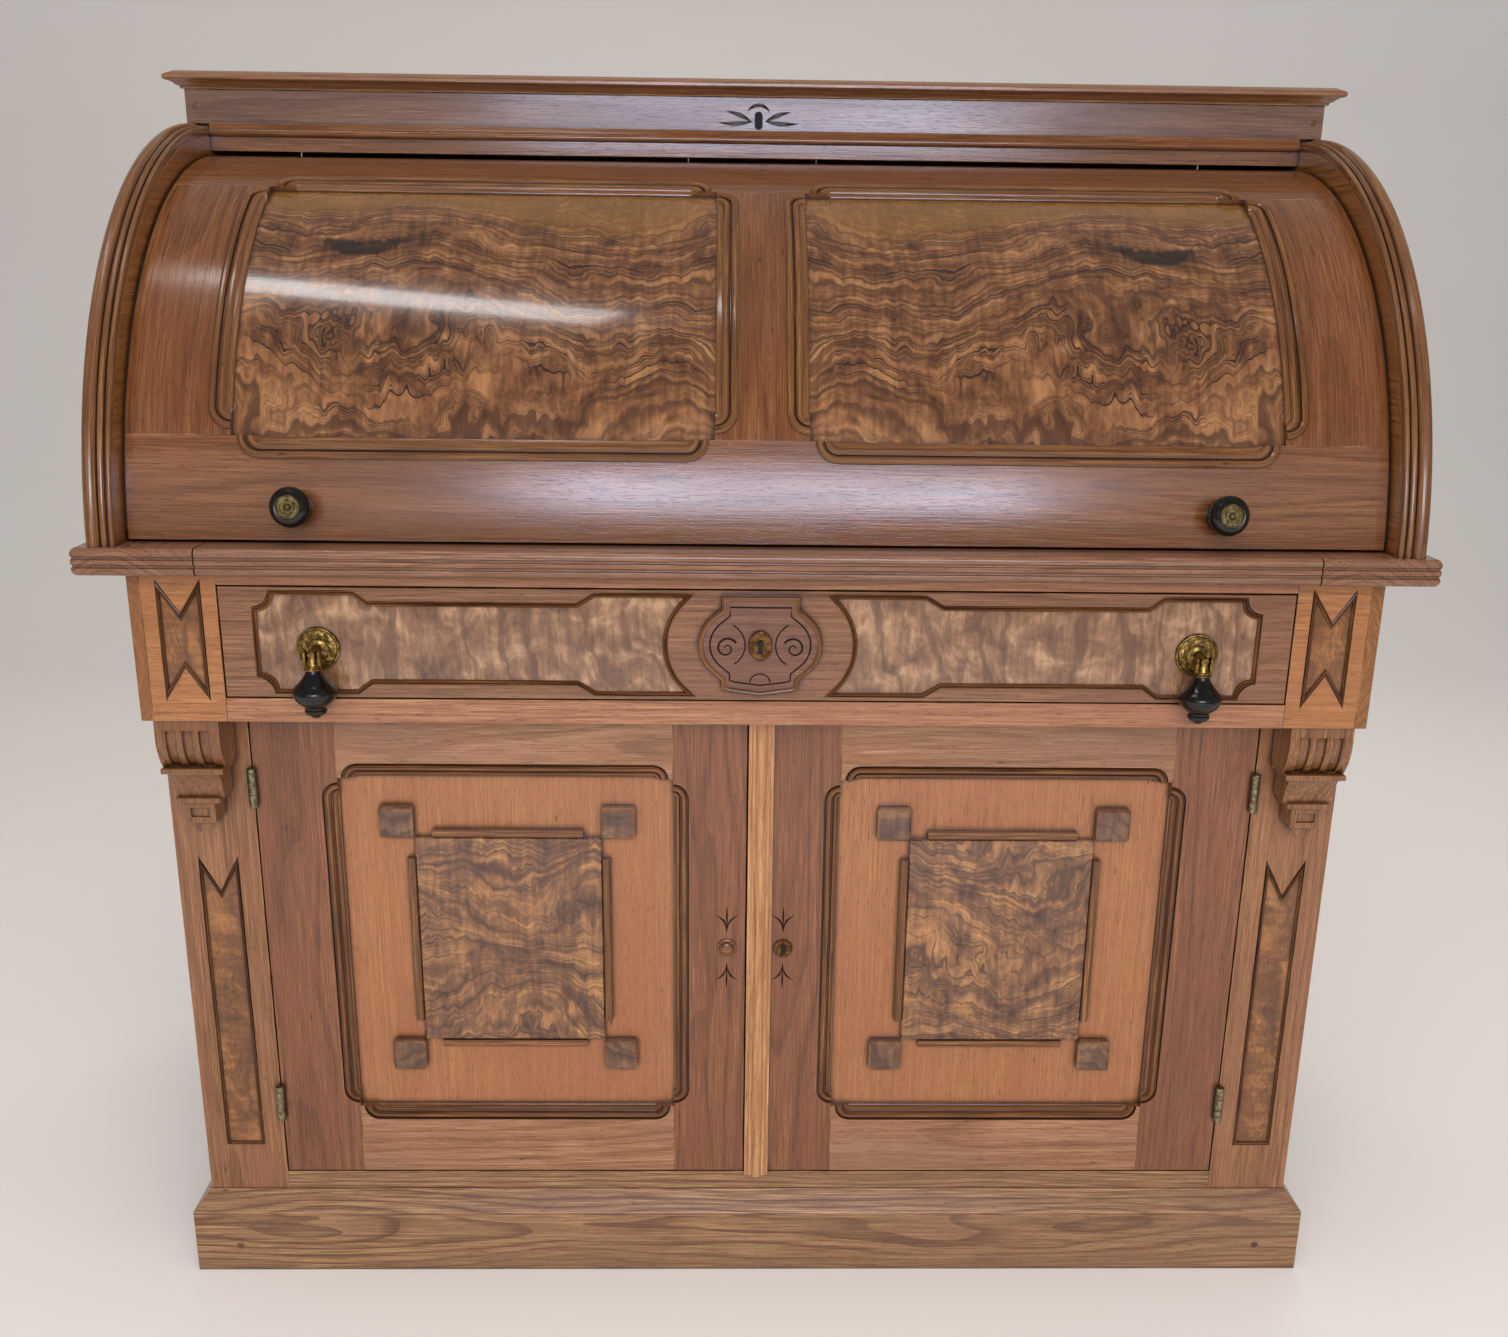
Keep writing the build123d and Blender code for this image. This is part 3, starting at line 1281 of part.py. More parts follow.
def small_drawer(side):
    """Small drawer: front, two sides, back and bottom, with a turned knob."""
    low = unit_low + unit_board + 0.5
    high = shelf_z - small_gap
    left = centre_half + small_gap
    right = unit_half - unit_board - small_gap
    mid = side * (left + right) / 2
    with BuildPart() as drawer:
        with Locations((mid, unit_y + 1, low)):
            Box(right - left, 10, high - low, align=front_mid)
        for x in (left + thin / 2, right - thin / 2):
            with Locations((side * x, unit_y + 11 + glue, low)):
                Box(thin, small_depth - 11 - glue, high - low - 8, align=front_mid)
        with Locations((mid, unit_y + small_depth - thin, low)):
            Box(right - left - 2 * thin - 2 * glue, thin, high - low - 8, align=front_mid)
        with Locations((mid, unit_y + 11 + glue, low)):
            Box(right - left - 2 * thin - 2 * glue, small_depth - 11 - thin - 2 * glue, 5, align=front_mid)
        with BuildSketch(Plane(origin=(mid, unit_y + 1, (low + high) / 2), x_dir=(1, 0, 0), z_dir=(0, 0, 1))):
            with BuildLine():
                v1 = Line((0, 0), (5, 0))
                v2 = Spline(v1 @ 1, (3.6, -4), (8.5, -9))
                v3 = ThreePointArc(v2 @ 1, dome(0, -9, 8.5, 5), (0, -14))
                Line(v3 @ 1, (0, 0))
            make_face()
        revolve(axis=Axis((mid, unit_y, (low + high) / 2), (0, 1, 0)))
    return drawer.part


save(small_drawer(-1), "small_drawer_left")
save(small_drawer(1), "small_drawer_right")
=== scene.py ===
import json
import math
import random

import bmesh
import bpy
import numpy as np
from mathutils import Matrix, Vector

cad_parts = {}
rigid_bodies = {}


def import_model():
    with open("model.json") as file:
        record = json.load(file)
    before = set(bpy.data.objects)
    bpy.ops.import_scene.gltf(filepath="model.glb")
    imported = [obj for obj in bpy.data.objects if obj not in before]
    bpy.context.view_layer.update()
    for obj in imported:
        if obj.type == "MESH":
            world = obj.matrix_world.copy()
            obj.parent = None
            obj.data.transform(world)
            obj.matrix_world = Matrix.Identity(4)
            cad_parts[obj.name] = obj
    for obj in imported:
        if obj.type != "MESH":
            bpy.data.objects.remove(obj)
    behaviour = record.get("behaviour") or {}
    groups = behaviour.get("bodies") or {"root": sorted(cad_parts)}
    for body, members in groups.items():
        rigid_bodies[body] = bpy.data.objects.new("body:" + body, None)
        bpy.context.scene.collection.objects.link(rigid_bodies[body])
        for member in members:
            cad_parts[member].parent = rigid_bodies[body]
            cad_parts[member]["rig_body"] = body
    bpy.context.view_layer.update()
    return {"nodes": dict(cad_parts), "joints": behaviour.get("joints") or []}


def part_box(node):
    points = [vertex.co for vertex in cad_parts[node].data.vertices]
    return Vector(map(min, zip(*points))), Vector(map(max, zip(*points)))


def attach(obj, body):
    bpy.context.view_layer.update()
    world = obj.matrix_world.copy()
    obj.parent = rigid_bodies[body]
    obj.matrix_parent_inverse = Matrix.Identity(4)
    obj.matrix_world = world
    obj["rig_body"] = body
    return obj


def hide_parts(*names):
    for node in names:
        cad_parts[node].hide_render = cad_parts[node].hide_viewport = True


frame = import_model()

# ------------------------------------------------------------------ plinth
# Boards of solid walnut butted round the foot of the case, under a sloped cap mitred at the
# front corners. Low down the timber has faded greyer and its flat-sawn figure shows most.

mm = 0.001
arris_width = 0.6
sharp_angle = math.radians(30)


def linear(code):
    """An sRGB hex colour as linear red, green, blue and alpha."""
    parts = [int(code[i : i + 2], 16) / 255 for i in (1, 3, 5)]
    return [c / 12.92 if c <= 0.04045 else ((c + 0.055) / 1.055) ** 2.4 for c in parts] + [1.0]


def add(tree, kind, settings, out=0):
    """Adds a shader node and gives one of its outputs. Each setting is for a property or a
    socket of the node, and a socket also takes another node's output."""
    made = tree.nodes.new("ShaderNode" + kind)
    for key, value in settings.items():
        if key == "ramp":
            marks = made.color_ramp.elements
            while len(marks) < len(value):
                marks.new(1.0)
            for mark, (place, code) in zip(marks, value):
                mark.position = place
                mark.color = linear(code)
        elif isinstance(value, bpy.types.NodeSocket):
            tree.links.new(value, made.inputs[key])
        elif isinstance(key, str) and hasattr(made, key):
            setattr(made, key, value)
        else:
            made.inputs[key].default_value = linear(value) if isinstance(value, str) else value
    return made.outputs[out] if made.outputs else made


# A MapRange node takes a value (socket 0), the span that it comes from (1, 2) and the span
# that it goes to (3, 4). A Mix node lays colour 7 over colour 6 by the share in socket 0.
smooth = {"interpolation_type": "SMOOTHSTEP"}
mixed = {"data_type": "RGBA"}
mixed_colour = 2


def sized_noise(tree, source, size, detail=2.0, roughness=0.5, out=0):
    """Noise whose features are as long as size, in mm, along, across and into the board."""
    scaled = add(tree, "VectorMath", {"operation": "DIVIDE", 0: source, 1: size})
    settings = {"Vector": scaled, "Scale": 1.0, "Detail": detail, "Roughness": roughness}
    return add(tree, "TexNoise", settings, out)


def painted_shade_and_wear(tree, colour, painted_shade="#24130a", worn="#b98b63", painted_shade_share=0.78, worn_share=0.6):
    """Darkens corners and creases found by ambient occlusion, as painted shade, and paints the faces of
    gouge cuts dark, as painted shade in the cuts; old polish rubs thin and pale along the arrises.
    """
    # Painted shade: the colour darkens where ambient occlusion finds corners and creases.
    hollow = add(tree, "AmbientOcclusion", {"samples": 5, "Distance": 6 * mm}, "AO")
    dark = add(tree, "MapRange", {**smooth, 0: hollow, 1: 0.42, 2: 0.92, 3: painted_shade_share, 4: 0.0})
    colour = add(tree, "Mix", {**mixed, 0: dark, 6: colour, 7: painted_shade}, mixed_colour)
    edge = add(tree, "Attribute", {"attribute_name": "arris"}, "Fac")
    spot = add(tree, "TexCoord", {}, "Object")
    patch = add(tree, "TexNoise", {"Vector": spot, "Scale": 28.0, "Detail": 3.0})
    bare = add(tree, "MapRange", {**smooth, 0: patch, 1: 0.42, 2: 0.62, 3: 0.12, 4: worn_share})
    rubbed = add(tree, "Math", {"operation": "MULTIPLY", "use_clamp": True, 0: edge, 1: bare})
    colour = add(tree, "Mix", {**mixed, 0: rubbed, 6: colour, 7: worn}, mixed_colour)
    # Faces of gouge cuts, marked below zero, are painted dark: painted shade in the cuts.
    carved = add(tree, "MapRange", {**smooth, 0: edge, 1: -1.0, 2: -0.2, 3: 0.82, 4: 0.0})
    return add(tree, "Mix", {**mixed, 0: carved, 6: colour, 7: painted_shade}, mixed_colour)


def blank(name):
    """A new material and its empty node tree."""
    made = bpy.data.materials.new(name)
    made.use_nodes = True
    made.node_tree.nodes.clear()
    return made, made.node_tree


def varnish(tree, looks):
    """Ends a material with its one shader."""
    add(tree, "OutputMaterial", {"Surface": add(tree, "BsdfPrincipled", looks)})


def growth_rings(tree, grain, wander, swing, ring, centred):
    """Counts the growth rings out from the heart. They wander by swing, in mm."""
    drift = sized_noise(tree, grain, wander, out="Color")
    if centred:
        drift = add(tree, "VectorMath", {"operation": "SUBTRACT", 0: drift, 1: (0.5, 0.5, 0.5)})
    swung = add(tree, "VectorMath", {"operation": "MULTIPLY", 0: drift, 1: (0.0, swing, swing)})
    section = add(tree, "VectorMath", {"operation": "MULTIPLY", 0: grain, 1: (0.0, 1.0, 1.0)})
    bent = add(tree, "VectorMath", {"operation": "ADD", 0: section, 1: swung})
    pith = add(tree, "VectorMath", {"operation": "LENGTH", 0: bent}, "Value")
    return add(tree, "Math", {"operation": "DIVIDE", 0: pith, 1: ring})


def walnut(name, dark, mid, light, blush="#8e5a3a", ring=6.5, rough=0.30, figure=1.0):
    """Solid walnut under old satin varnish: growth rings cut by the saw, fine fibre and open
    pores. Rings are 3 to 9 mm apart. Real pores are 0.2 mm wide and are drawn 0.9 mm wide."""
    made, tree = blank(name)
    grain = add(tree, "Attribute", {"attribute_name": "grain"}, "Vector")
    rings = growth_rings(tree, grain, (420.0, 75.0, 75.0), 30.0 * figure, ring, True)
    years = {"noise_dimensions": "1D", "Scale": 0.8, "Detail": 3.0, "Roughness": 0.62}
    broad = add(tree, "TexNoise", {**years, "W": rings})
    late = add(tree, "Math", {"operation": "FRACT", 0: rings})
    lines = add(tree, "MapRange", {**smooth, 0: late, 1: 0.55, 2: 1.0, 3: 0.0, 4: 1.0})
    fibre = sized_noise(tree, grain, (52.0, 1.1, 1.1), 3.0, 0.6)
    pores = sized_noise(tree, grain, (11.0, 0.9, 0.9), 1.0)
    mottle = sized_noise(tree, grain, (260.0, 60.0, 60.0))
    tone = add(tree, "Math", {"operation": "MULTIPLY_ADD", 0: broad, 1: 0.40, 2: fibre})
    tone = add(tree, "Math", {"operation": "MULTIPLY_ADD", 0: lines, 1: -0.11 * figure, 2: tone})
    half = 0.26 / math.sqrt(figure)
    stops = ((0.68 - half, dark), (0.68, mid), (0.68 + half, light))
    wood = add(tree, "ValToRGB", {"ramp": stops, 0: tone})
    flush = add(tree, "MapRange", {**smooth, 0: mottle, 1: 0.35, 2: 0.68, 3: 0.0, 4: 0.45})
    colour = add(tree, "Mix", {**mixed, 0: flush, 6: wood, 7: blush}, mixed_colour)
    open_pore = add(tree, "MapRange", {**smooth, 0: pores, 1: 0.60, 2: 0.70, 3: 0.0, 4: 0.42})
    colour = add(tree, "Mix", {**mixed, 0: open_pore, 6: colour, 7: "#2c180d"}, mixed_colour)
    sized = add(tree, "VectorMath", {"operation": "DIVIDE", 0: grain, 1: (95.0, 30.0, 60.0)})
    knot = add(tree, "TexVoronoi", {"Vector": sized, "Scale": 1.0}, "Distance")
    bark = add(tree, "MapRange", {**smooth, 0: knot, 1: 0.02, 2: 0.055, 3: 0.7, 4: 0.0})
    colour = add(tree, "Mix", {**mixed, 0: bark, 6: colour, 7: "#331a0e"}, mixed_colour)
    span = {3: rough - 0.05, 4: rough + 0.07}
    polish = add(tree, "MapRange", {**smooth, 0: mottle, 1: 0.3, 2: 0.7, **span})
    cut = add(tree, "Attribute", {"attribute_name": "arris"}, "Fac")
    dry = add(tree, "MapRange", {**smooth, 0: cut, 1: -1.0, 2: -0.2, 3: 0.8, 4: 0.0})
    polish = add(tree, "Math", {"operation": "MAXIMUM", 0: polish, 1: dry})
    relief = add(tree, "Math", {"operation": "MULTIPLY_ADD", 0: open_pore, 1: -0.8, 2: fibre})
    bump = add(tree, "Bump", {"Height": relief, "Strength": 0.16, "Distance": 0.4 * mm})
    # The base colour carries painted shade in corners and gouge cuts, and wear along the arrises.
    varnish(tree, {
        "Base Color": painted_shade_and_wear(tree, colour), "Roughness": polish, "Normal": bump, "IOR": 1.5,
        "Coat Weight": 0.22, "Coat Roughness": 0.14, "Coat Normal": bump,
    })
    return made


def parts_of(bm):
    """The separate solids in a mesh, each as a list of its vertices."""
    left = set(bm.verts)
    found = []
    while left:
        heap = [left.pop()]
        solid = []
        while heap:
            vert = heap.pop()
            solid.append(vert)
            for edge in vert.link_edges:
                other = edge.other_vert(vert)
                if other in left:
                    left.remove(other)
                    heap.append(other)
        found.append(solid)
    return sorted(found, key=lambda s: tuple(round(v, 5) for v in min(p.co[:] for p in s)))


def cad_mesh(node):
    """A CAD node's mesh with its faces sewn together and its flats made whole."""
    bm = bmesh.new()
    bm.from_mesh(frame["nodes"][node].data)
    bmesh.ops.remove_doubles(bm, verts=bm.verts, dist=0.004 * mm)
    bmesh.ops.dissolve_limit(bm, angle_limit=math.radians(0.4), verts=bm.verts, edges=bm.edges)
    return bm


def lay_grain(bm, seed, along="", unroll=None):
    """Writes where each point lies in its own plank, in mm: along the grain, across it, and
    out from the heart of the tree. Every solid is cut from another part of the tree."""
    layer = bm.verts.layers.float_vector.get("grain") or bm.verts.layers.float_vector.new("grain")
    for count, solid in enumerate(parts_of(bm)):
        draw = random.Random(f"{seed} {count}")
        points = np.array([(unroll(v.co) if unroll else v.co) for v in solid]) / mm
        low, high = points.min(0), points.max(0)
        order = list(np.argsort(low - high, kind="stable"))
        if along:
            first = "xyz".index(along)
            order = [first] + [k for k in order if k != first]
        start = Vector((draw.uniform(0, 4000), draw.uniform(-26, 26), draw.uniform(38, 85)))
        middle = (low + high) / 2
        for vert, point in zip(solid, points):
            vert[layer] = Vector([point[k] - middle[k] for k in order]) + start


def ease_arrises(bm, width):
    """Planes a narrow flat on each outer corner and marks it, as a hand-finished edge has."""
    mark = bm.faces.layers.float.new("arris")
    corners = []
    for edge in bm.edges:
        if len(edge.link_faces) == 2 and edge.is_convex and edge.calc_face_angle(0) > math.radians(50):
            if edge.calc_length() > 0.4 * mm:
                corners.append(edge)
    if not corners or not width:
        return
    way = {"affect": "EDGES", "segments": 1, "clamp_overlap": True}
    made = bmesh.ops.bevel(bm, geom=corners, offset=width * mm, **way)
    for face in made["faces"]:
        face[mark] = 1.0


def piece(name, bm, body, material, stands_for=()):
    """Makes the finished object, which moves with its body and may stand for CAD nodes."""
    bmesh.ops.recalc_face_normals(bm, faces=bm.faces)
    mesh = bpy.data.meshes.new(name)
    for face in bm.faces:
        face.smooth = True
    bm.to_mesh(mesh)
    bm.free()
    mesh.set_sharp_from_angle(angle=sharp_angle)
    mesh.materials.append(material)
    made = bpy.data.objects.new(name, mesh)
    bpy.context.scene.collection.objects.link(made)
    even = made.modifiers.new("even_normals", "WEIGHTED_NORMAL")
    even.keep_sharp = True
    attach(made, body)
    if stands_for:
        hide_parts(*stands_for)
    return made


def planed(node, material, along="", width=arris_width, unroll=None):
    """A CAD node finished at the bench: arrises eased, grain laid along the plank."""
    bm = cad_mesh(node)
    ease_arrises(bm, width)
    lay_grain(bm, node, along, unroll)
    return piece(node + "_finished", bm, frame["nodes"][node]["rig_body"], material, (node,))


faded_walnut = walnut(
    "walnut_faded_varnish", "#5d3e28", "#886241", "#ad875e", "#7a5a42",
    ring=5.5, rough=0.36, figure=1.8,
)
planed("plinth_boards", faded_walnut)
planed("plinth_cap", faded_walnut)

# ------------------------------------------------------------------ lower carcase
# Solid walnut sides, posts and rail; the floor, the dust board, the loose shelf and the
# upright back boards are a plain pale timber left off the polisher's bench.

carcase_walnut = walnut("walnut_satin_varnish", "#5a3316", "#805127", "#a06e3b", "#7a4523")
post_walnut = walnut("walnut_post_varnish", "#593720", "#835634", "#a6784c", "#815540", rough=0.33)
planed("case_sides", carcase_walnut, along="z")
planed("posts", post_walnut)
planed("bottom_rail", faded_walnut)


def plain_timber(name, dark, mid, light):
    """Unpolished pale softwood: slow rings, a dry surface, a little grey painted shade in the corners.
    """
    made, tree = blank(name)
    grain = add(tree, "Attribute", {"attribute_name": "grain"}, "Vector")
    rings = growth_rings(tree, grain, (500.0, 60.0, 60.0), 22.0, 5.0, False)
    late = add(tree, "Math", {"operation": "FRACT", 0: rings})
    early = add(tree, "MapRange", {**smooth, 0: late, 1: 0.3, 2: 1.0, 3: 1.0, 4: 0.0})
    fibre = sized_noise(tree, grain, (60.0, 1.2, 1.2), 3.0)
    tone = add(tree, "Math", {"operation": "MULTIPLY_ADD", 0: early, 1: 0.45, 2: fibre})
    wood = add(tree, "ValToRGB", {"ramp": ((0.35, dark), (0.7, mid), (1.0, light)), 0: tone})
    # 3b2c1f is the painted shade laid in the corners; #e0c9a3 is wear along the arrises.
    colour = painted_shade_and_wear(tree, wood, "#3b2c1f", "#e0c9a3")
    dry = add(tree, "MapRange", {**smooth, 0: fibre, 1: 0.3, 2: 0.7, 3: 0.55, 4: 0.72})
    bump = add(tree, "Bump", {"Height": fibre, "Strength": 0.25, "Distance": 0.4 * mm})
    varnish(tree, {"Base Color": colour, "Roughness": dry, "Normal": bump})
    return made


pale_timber = plain_timber("pale_timber_unpolished", "#8d6c45", "#b3915f", "#cbb083")
for name in ("case_boards", "shelf"):
    planed(name, pale_timber)
back_timber = plain_timber("back_timber_aged", "#6e5034", "#8d6c48", "#a88660")
planed("back_boards", back_timber, along="z")

# ------------------------------------------------------------------ burl let into posts and blocks
# Sheets of figured burl glued into sunk fields with swallow-tail ends, each framed by a small
# moulding planted in the gap round the sheet.


def burl(
    name, dark, mid, light, line="#2b190f", run=(0.0, 1.0, 0.0), spacing=15.0, swirl=70.0,
    share=0.85, rough=0.22, lines=1.6, eye=None, gold=None,
):
    """Walnut burl veneer: contour-like dark lines that ripple every 10 to 20 mm over a cloudy
    orange ground, under a hard clear polish. Lines are 0.5 mm and up, drawn 1 mm wide. The eye
    is a dark crescent of bark and gold the pale sapwood side of the sheet."""
    made, tree = blank(name)
    spot = add(tree, "Attribute", {"attribute_name": "grain"}, "Vector")
    moved = spot
    slow, wavy, rippled = (190.0, 150.0, 150.0), (44.0, 60.0, 60.0), (9.0, 48.0, 30.0)
    for size, amount, detail in ((slow, swirl, 1.0), (wavy, 26.0, 2.0), (rippled, 5.5, 1.0)):
        push = sized_noise(tree, spot, size, detail, 0.55, "Color")
        push = add(tree, "VectorMath", {"operation": "SUBTRACT", 0: push, 1: (0.5, 0.5, 0.5)})
        push = add(tree, "VectorMath", {"operation": "SCALE", 0: push, "Scale": amount * 2})
        moved = add(tree, "VectorMath", {"operation": "ADD", 0: moved, 1: push})
    level = add(tree, "VectorMath", {"operation": "DOT_PRODUCT", 0: moved, 1: run}, "Value")
    level = add(tree, "Math", {"operation": "DIVIDE", 0: level, 1: spacing})
    heights = {"noise_dimensions": "1D", "Scale": lines, "Detail": 2.0, "Roughness": 0.5}
    drawn = add(tree, "TexNoise", {**heights, "W": level})
    from_line = add(tree, "Math", {"operation": "SUBTRACT", 0: drawn, 1: 0.5})
    from_line = add(tree, "Math", {"operation": "ABSOLUTE", 0: from_line})
    thin = add(tree, "MapRange", {**smooth, 0: from_line, 1: 0.0, 2: 0.035, 3: 1.0, 4: 0.0})
    shadow = add(tree, "MapRange", {**smooth, 0: drawn, 1: 0.30, 2: 0.52, 3: 0.75, 4: 0.0})
    cloud = sized_noise(tree, moved, (42.0, 24.0, 24.0), 4.0, 0.6)
    silk = sized_noise(tree, spot, (5.0, 34.0, 10.0), 3.0, 0.6)
    tone = add(tree, "Math", {"operation": "MULTIPLY_ADD", 0: silk, 1: 0.45, 2: cloud})
    wood = add(tree, "ValToRGB", {"ramp": ((0.50, dark), (0.72, mid), (0.92, light)), 0: tone})
    where = sized_noise(tree, spot, (70.0, 70.0, 70.0), 1.0)
    strong = add(tree, "MapRange", {**smooth, 0: where, 1: 0.32, 2: 0.60, 3: 0.25, 4: share})
    ink = add(tree, "Math", {"operation": "MULTIPLY", 0: thin, 1: strong})
    colour = add(tree, "Mix", {**mixed, 0: shadow, 6: wood, 7: dark}, mixed_colour)
    colour = add(tree, "Mix", {**mixed, 0: ink, 6: colour, 7: line}, mixed_colour)
    if gold:
        height = add(tree, "SeparateXYZ", {0: moved}, 1)
        side = add(tree, "MapRange", {**smooth, 0: height, 1: gold, 2: gold + 60.0, 3: 0.0, 4: 0.6})
        colour = add(tree, "Mix", {**mixed, 0: side, 6: colour, 7: "#7d561c"}, mixed_colour)
    if eye:
        away = add(tree, "VectorMath", {"operation": "SUBTRACT", 0: spot, 1: eye})
        across, along = add(tree, "SeparateXYZ", {0: away}).node.outputs[:2]
        sag = add(tree, "Math", {"operation": "POWER", 0: across, 1: 2.0})
        sag = add(tree, "Math", {"operation": "MULTIPLY_ADD", 0: sag, 1: -0.0085, 2: along})
        bowed = add(tree, "CombineXYZ", {0: across, 1: sag})
        span = add(tree, "VectorMath", {"operation": "DIVIDE", 0: bowed, 1: (44.0, 11.0, 1.0)})
        reach = add(tree, "VectorMath", {"operation": "LENGTH", 0: span}, "Value")
        ragged = add(tree, "Math", {"operation": "MULTIPLY_ADD", 0: silk, 1: 0.9, 2: reach})
        bark = add(tree, "MapRange", {**smooth, 0: ragged, 1: 1.1, 2: 1.6, 3: 0.9, 4: 0.0})
        colour = add(tree, "Mix", {**mixed, 0: bark, 6: colour, 7: "#1d110b"}, mixed_colour)
    gloss = {3: rough - 0.03, 4: rough + 0.06}
    polish = add(tree, "MapRange", {**smooth, 0: cloud, 1: 0.3, 2: 0.7, **gloss})
    bump = add(tree, "Bump", {"Height": tone, "Strength": 0.10, "Distance": 0.3 * mm})
    # The base colour carries painted shade in corners and creases, and wear along the arrises.
    varnish(tree, {
        "Base Color": painted_shade_and_wear(tree, colour, worn="#a87850"), "Roughness": polish,
        "Normal": bump, "IOR": 1.5, "Coat Weight": 0.55, "Coat Roughness": 0.07,
    })
    return made


def mitred(points):
    """Stations round a closed outline: each point and the way that its frame's width runs."""
    stations = []
    area = sum(a[0] * b[1] - b[0] * a[1] for a, b in zip(points, points[1:] + points[:1]))
    turn = 1 if area > 0 else -1
    for count, here in enumerate(points):
        before = (here - points[count - 1]).normalized()
        after = (points[(count + 1) % len(points)] - here).normalized()
        first = Vector((before.y, -before.x)) * turn
        second = Vector((after.y, -after.x)) * turn
        middle = first + second
        stations.append((here, middle / max(middle.dot(first), 0.2)))
    return stations


def skin(bm, rows, capped=True):
    """Joins rings of vertices into one skin and may close its two ends."""
    for row, after in zip(rows, rows[1:]):
        for k in range(len(row)):
            n = (k + 1) % len(row)
            bm.faces.new((row[k], row[n], after[n], after[k]))
    if capped:
        bm.faces.new(rows[0])
        bm.faces.new(reversed(rows[-1]))


def moulded(name, stations, profile, place, body, material, closed=True):
    """A length of moulding run along stations. The profile is a ring of (width, height)."""
    bm = bmesh.new()
    layer = bm.verts.layers.float_vector.new("grain")
    bm.faces.layers.float.new("arris")
    draw = random.Random(name)
    run = draw.uniform(0, 3000)
    rows = []
    for count, (here, out) in enumerate(stations):
        if count:
            run += (here - stations[count - 1][0]).length
        row = []
        for width, height in profile:
            spot = here + out * width
            vert = bm.verts.new(place(spot.x, spot.y, height))
            vert[layer] = Vector((run, width + 12, height + 40))
            row.append(vert)
        rows.append(row)
    if closed:
        rows.append(rows[0])
    skin(bm, rows, not closed)
    return piece(name, bm, body, material)


def on_front(y):
    """Places a point given by x, z and its height off a front face at depth y, all in mm."""
    return lambda x, z, height: Vector((x, y - height, z)) * mm


def outlines(node):
    """The front outline of each solid of a CAD node, as points of x and z in mm, and its depth."""
    bm = cad_mesh(node)
    found = []
    for solid in parts_of(bm):
        near = min(v.co.y for v in solid)
        inside = set(solid)
        faces = []
        for face in bm.faces:
            if face.verts[0] in inside and all(abs(v.co.y - near) < 1e-6 for v in face.verts):
                faces.append(face)
        front = max(faces, key=lambda f: f.calc_area())
        found.append(([Vector((v.co.x, v.co.z)) / mm for v in front.verts], near / mm))
    bm.free()
    return found


post_burl = burl(
    "burl_veneer_golden", "#522d12", "#7a4a1f", "#a16b35", swirl=40.0, spacing=17.0, share=0.5,
)
planed("post_inlays", post_burl, width=0)
bead_walnut = walnut("walnut_bead_varnish", "#3a1e0d", "#69401f", "#a3703c", "#5c371b", rough=0.24)
small_bead = (
    (0.0, 0.2), (0.4, 1.8), (1.3, 2.7), (2.2, 1.9), (2.5, 0.8), (2.9, 1.7), (3.4, 1.5),
    (3.4, -2.8), (0.0, -2.8),
)
for count, (points, depth) in enumerate(outlines("post_inlays")):
    planted = f"post_bead_{count + 1}"
    moulded(planted, mitred(points), small_bead, on_front(depth), "carcase", bead_walnut)

# ------------------------------------------------------------------ frieze
# Walnut rails and blocks round the long drawer, on thin sides, with a pair of carved corbels
# below. The drawer runs on softwood runners under kickers.

frieze_walnut = walnut("walnut_frieze_varnish", "#70462c", "#966444", "#b5855f", "#8e5d42", rough=0.27)
block_walnut = walnut("walnut_block_varnish", "#754927", "#9d673b", "#bb8351", "#955e34", rough=0.3)
planed("frieze_sides", carcase_walnut)
planed("frieze_blocks", block_walnut, along="x")
planed("frieze_rails", frieze_walnut)
corbel_walnut = walnut("walnut_carved_varnish", "#4f2f18", "#7a4f2e", "#a0744a", "#6f4526", rough=0.27)
planed("corbels", corbel_walnut, along="z", width=0.5)
planed("drawer_runners", pale_timber)

# ------------------------------------------------------------------ long drawer
# A walnut front with two notched bands of crotch veneer framed by planted beads, and a
# dovetailed softwood box behind. The raised escutcheon block is carved from the solid.

drawer_walnut = walnut("walnut_drawer_varnish", "#563723", "#795137", "#976d4c", "#714833", rough=0.26)
planed("drawer_front", drawer_walnut, width=0.4)
crotch = burl(
    "crotch_veneer", "#543624", "#835e42", "#ad8866", "#322010", run=(1.0, 0.18, 0.0),
    spacing=26.0, swirl=42.0, share=0.35,
)
planed("drawer_inlays", crotch, along="x", width=0)
band_bead = (
    (0.0, 0.2), (0.5, 1.5), (1.6, 2.9), (2.7, 1.8), (3.1, 0.9), (3.7, 1.9), (4.4, 1.5),
    (4.4, -2.7), (0.0, -2.7),
)
for count, (points, depth) in enumerate(outlines("drawer_inlays")):
    planted = ("drawer_bead_left", "drawer_bead_right")[count]
    moulded(planted, mitred(points), band_bead, on_front(depth), "long_drawer", bead_walnut)
planed("drawer_box", pale_timber)
planed("drawer_bottom", pale_timber, along="x")


def gouge(bm, path, widths, depth, place):
    """Adds the cutter of one V-shaped gouge cut along a path; it narrows as its widths do."""
    rows = []
    for count, (here, width) in enumerate(zip(path, widths)):
        before = path[max(count - 1, 0)]
        after = path[min(count + 1, len(path) - 1)]
        way = (after - before).normalized()
        side = Vector((way.y, -way.x)) * width / 2
        deep = depth * (0.25 + 0.75 * width / max(widths))
        lift = 0.6
        spots = ((here - side * 1.3, lift), (here + side * 1.3, lift), (here, -deep))
        rows.append([bm.verts.new(place(p.x, p.y, h)) for p, h in spots])
    skin(bm, rows)


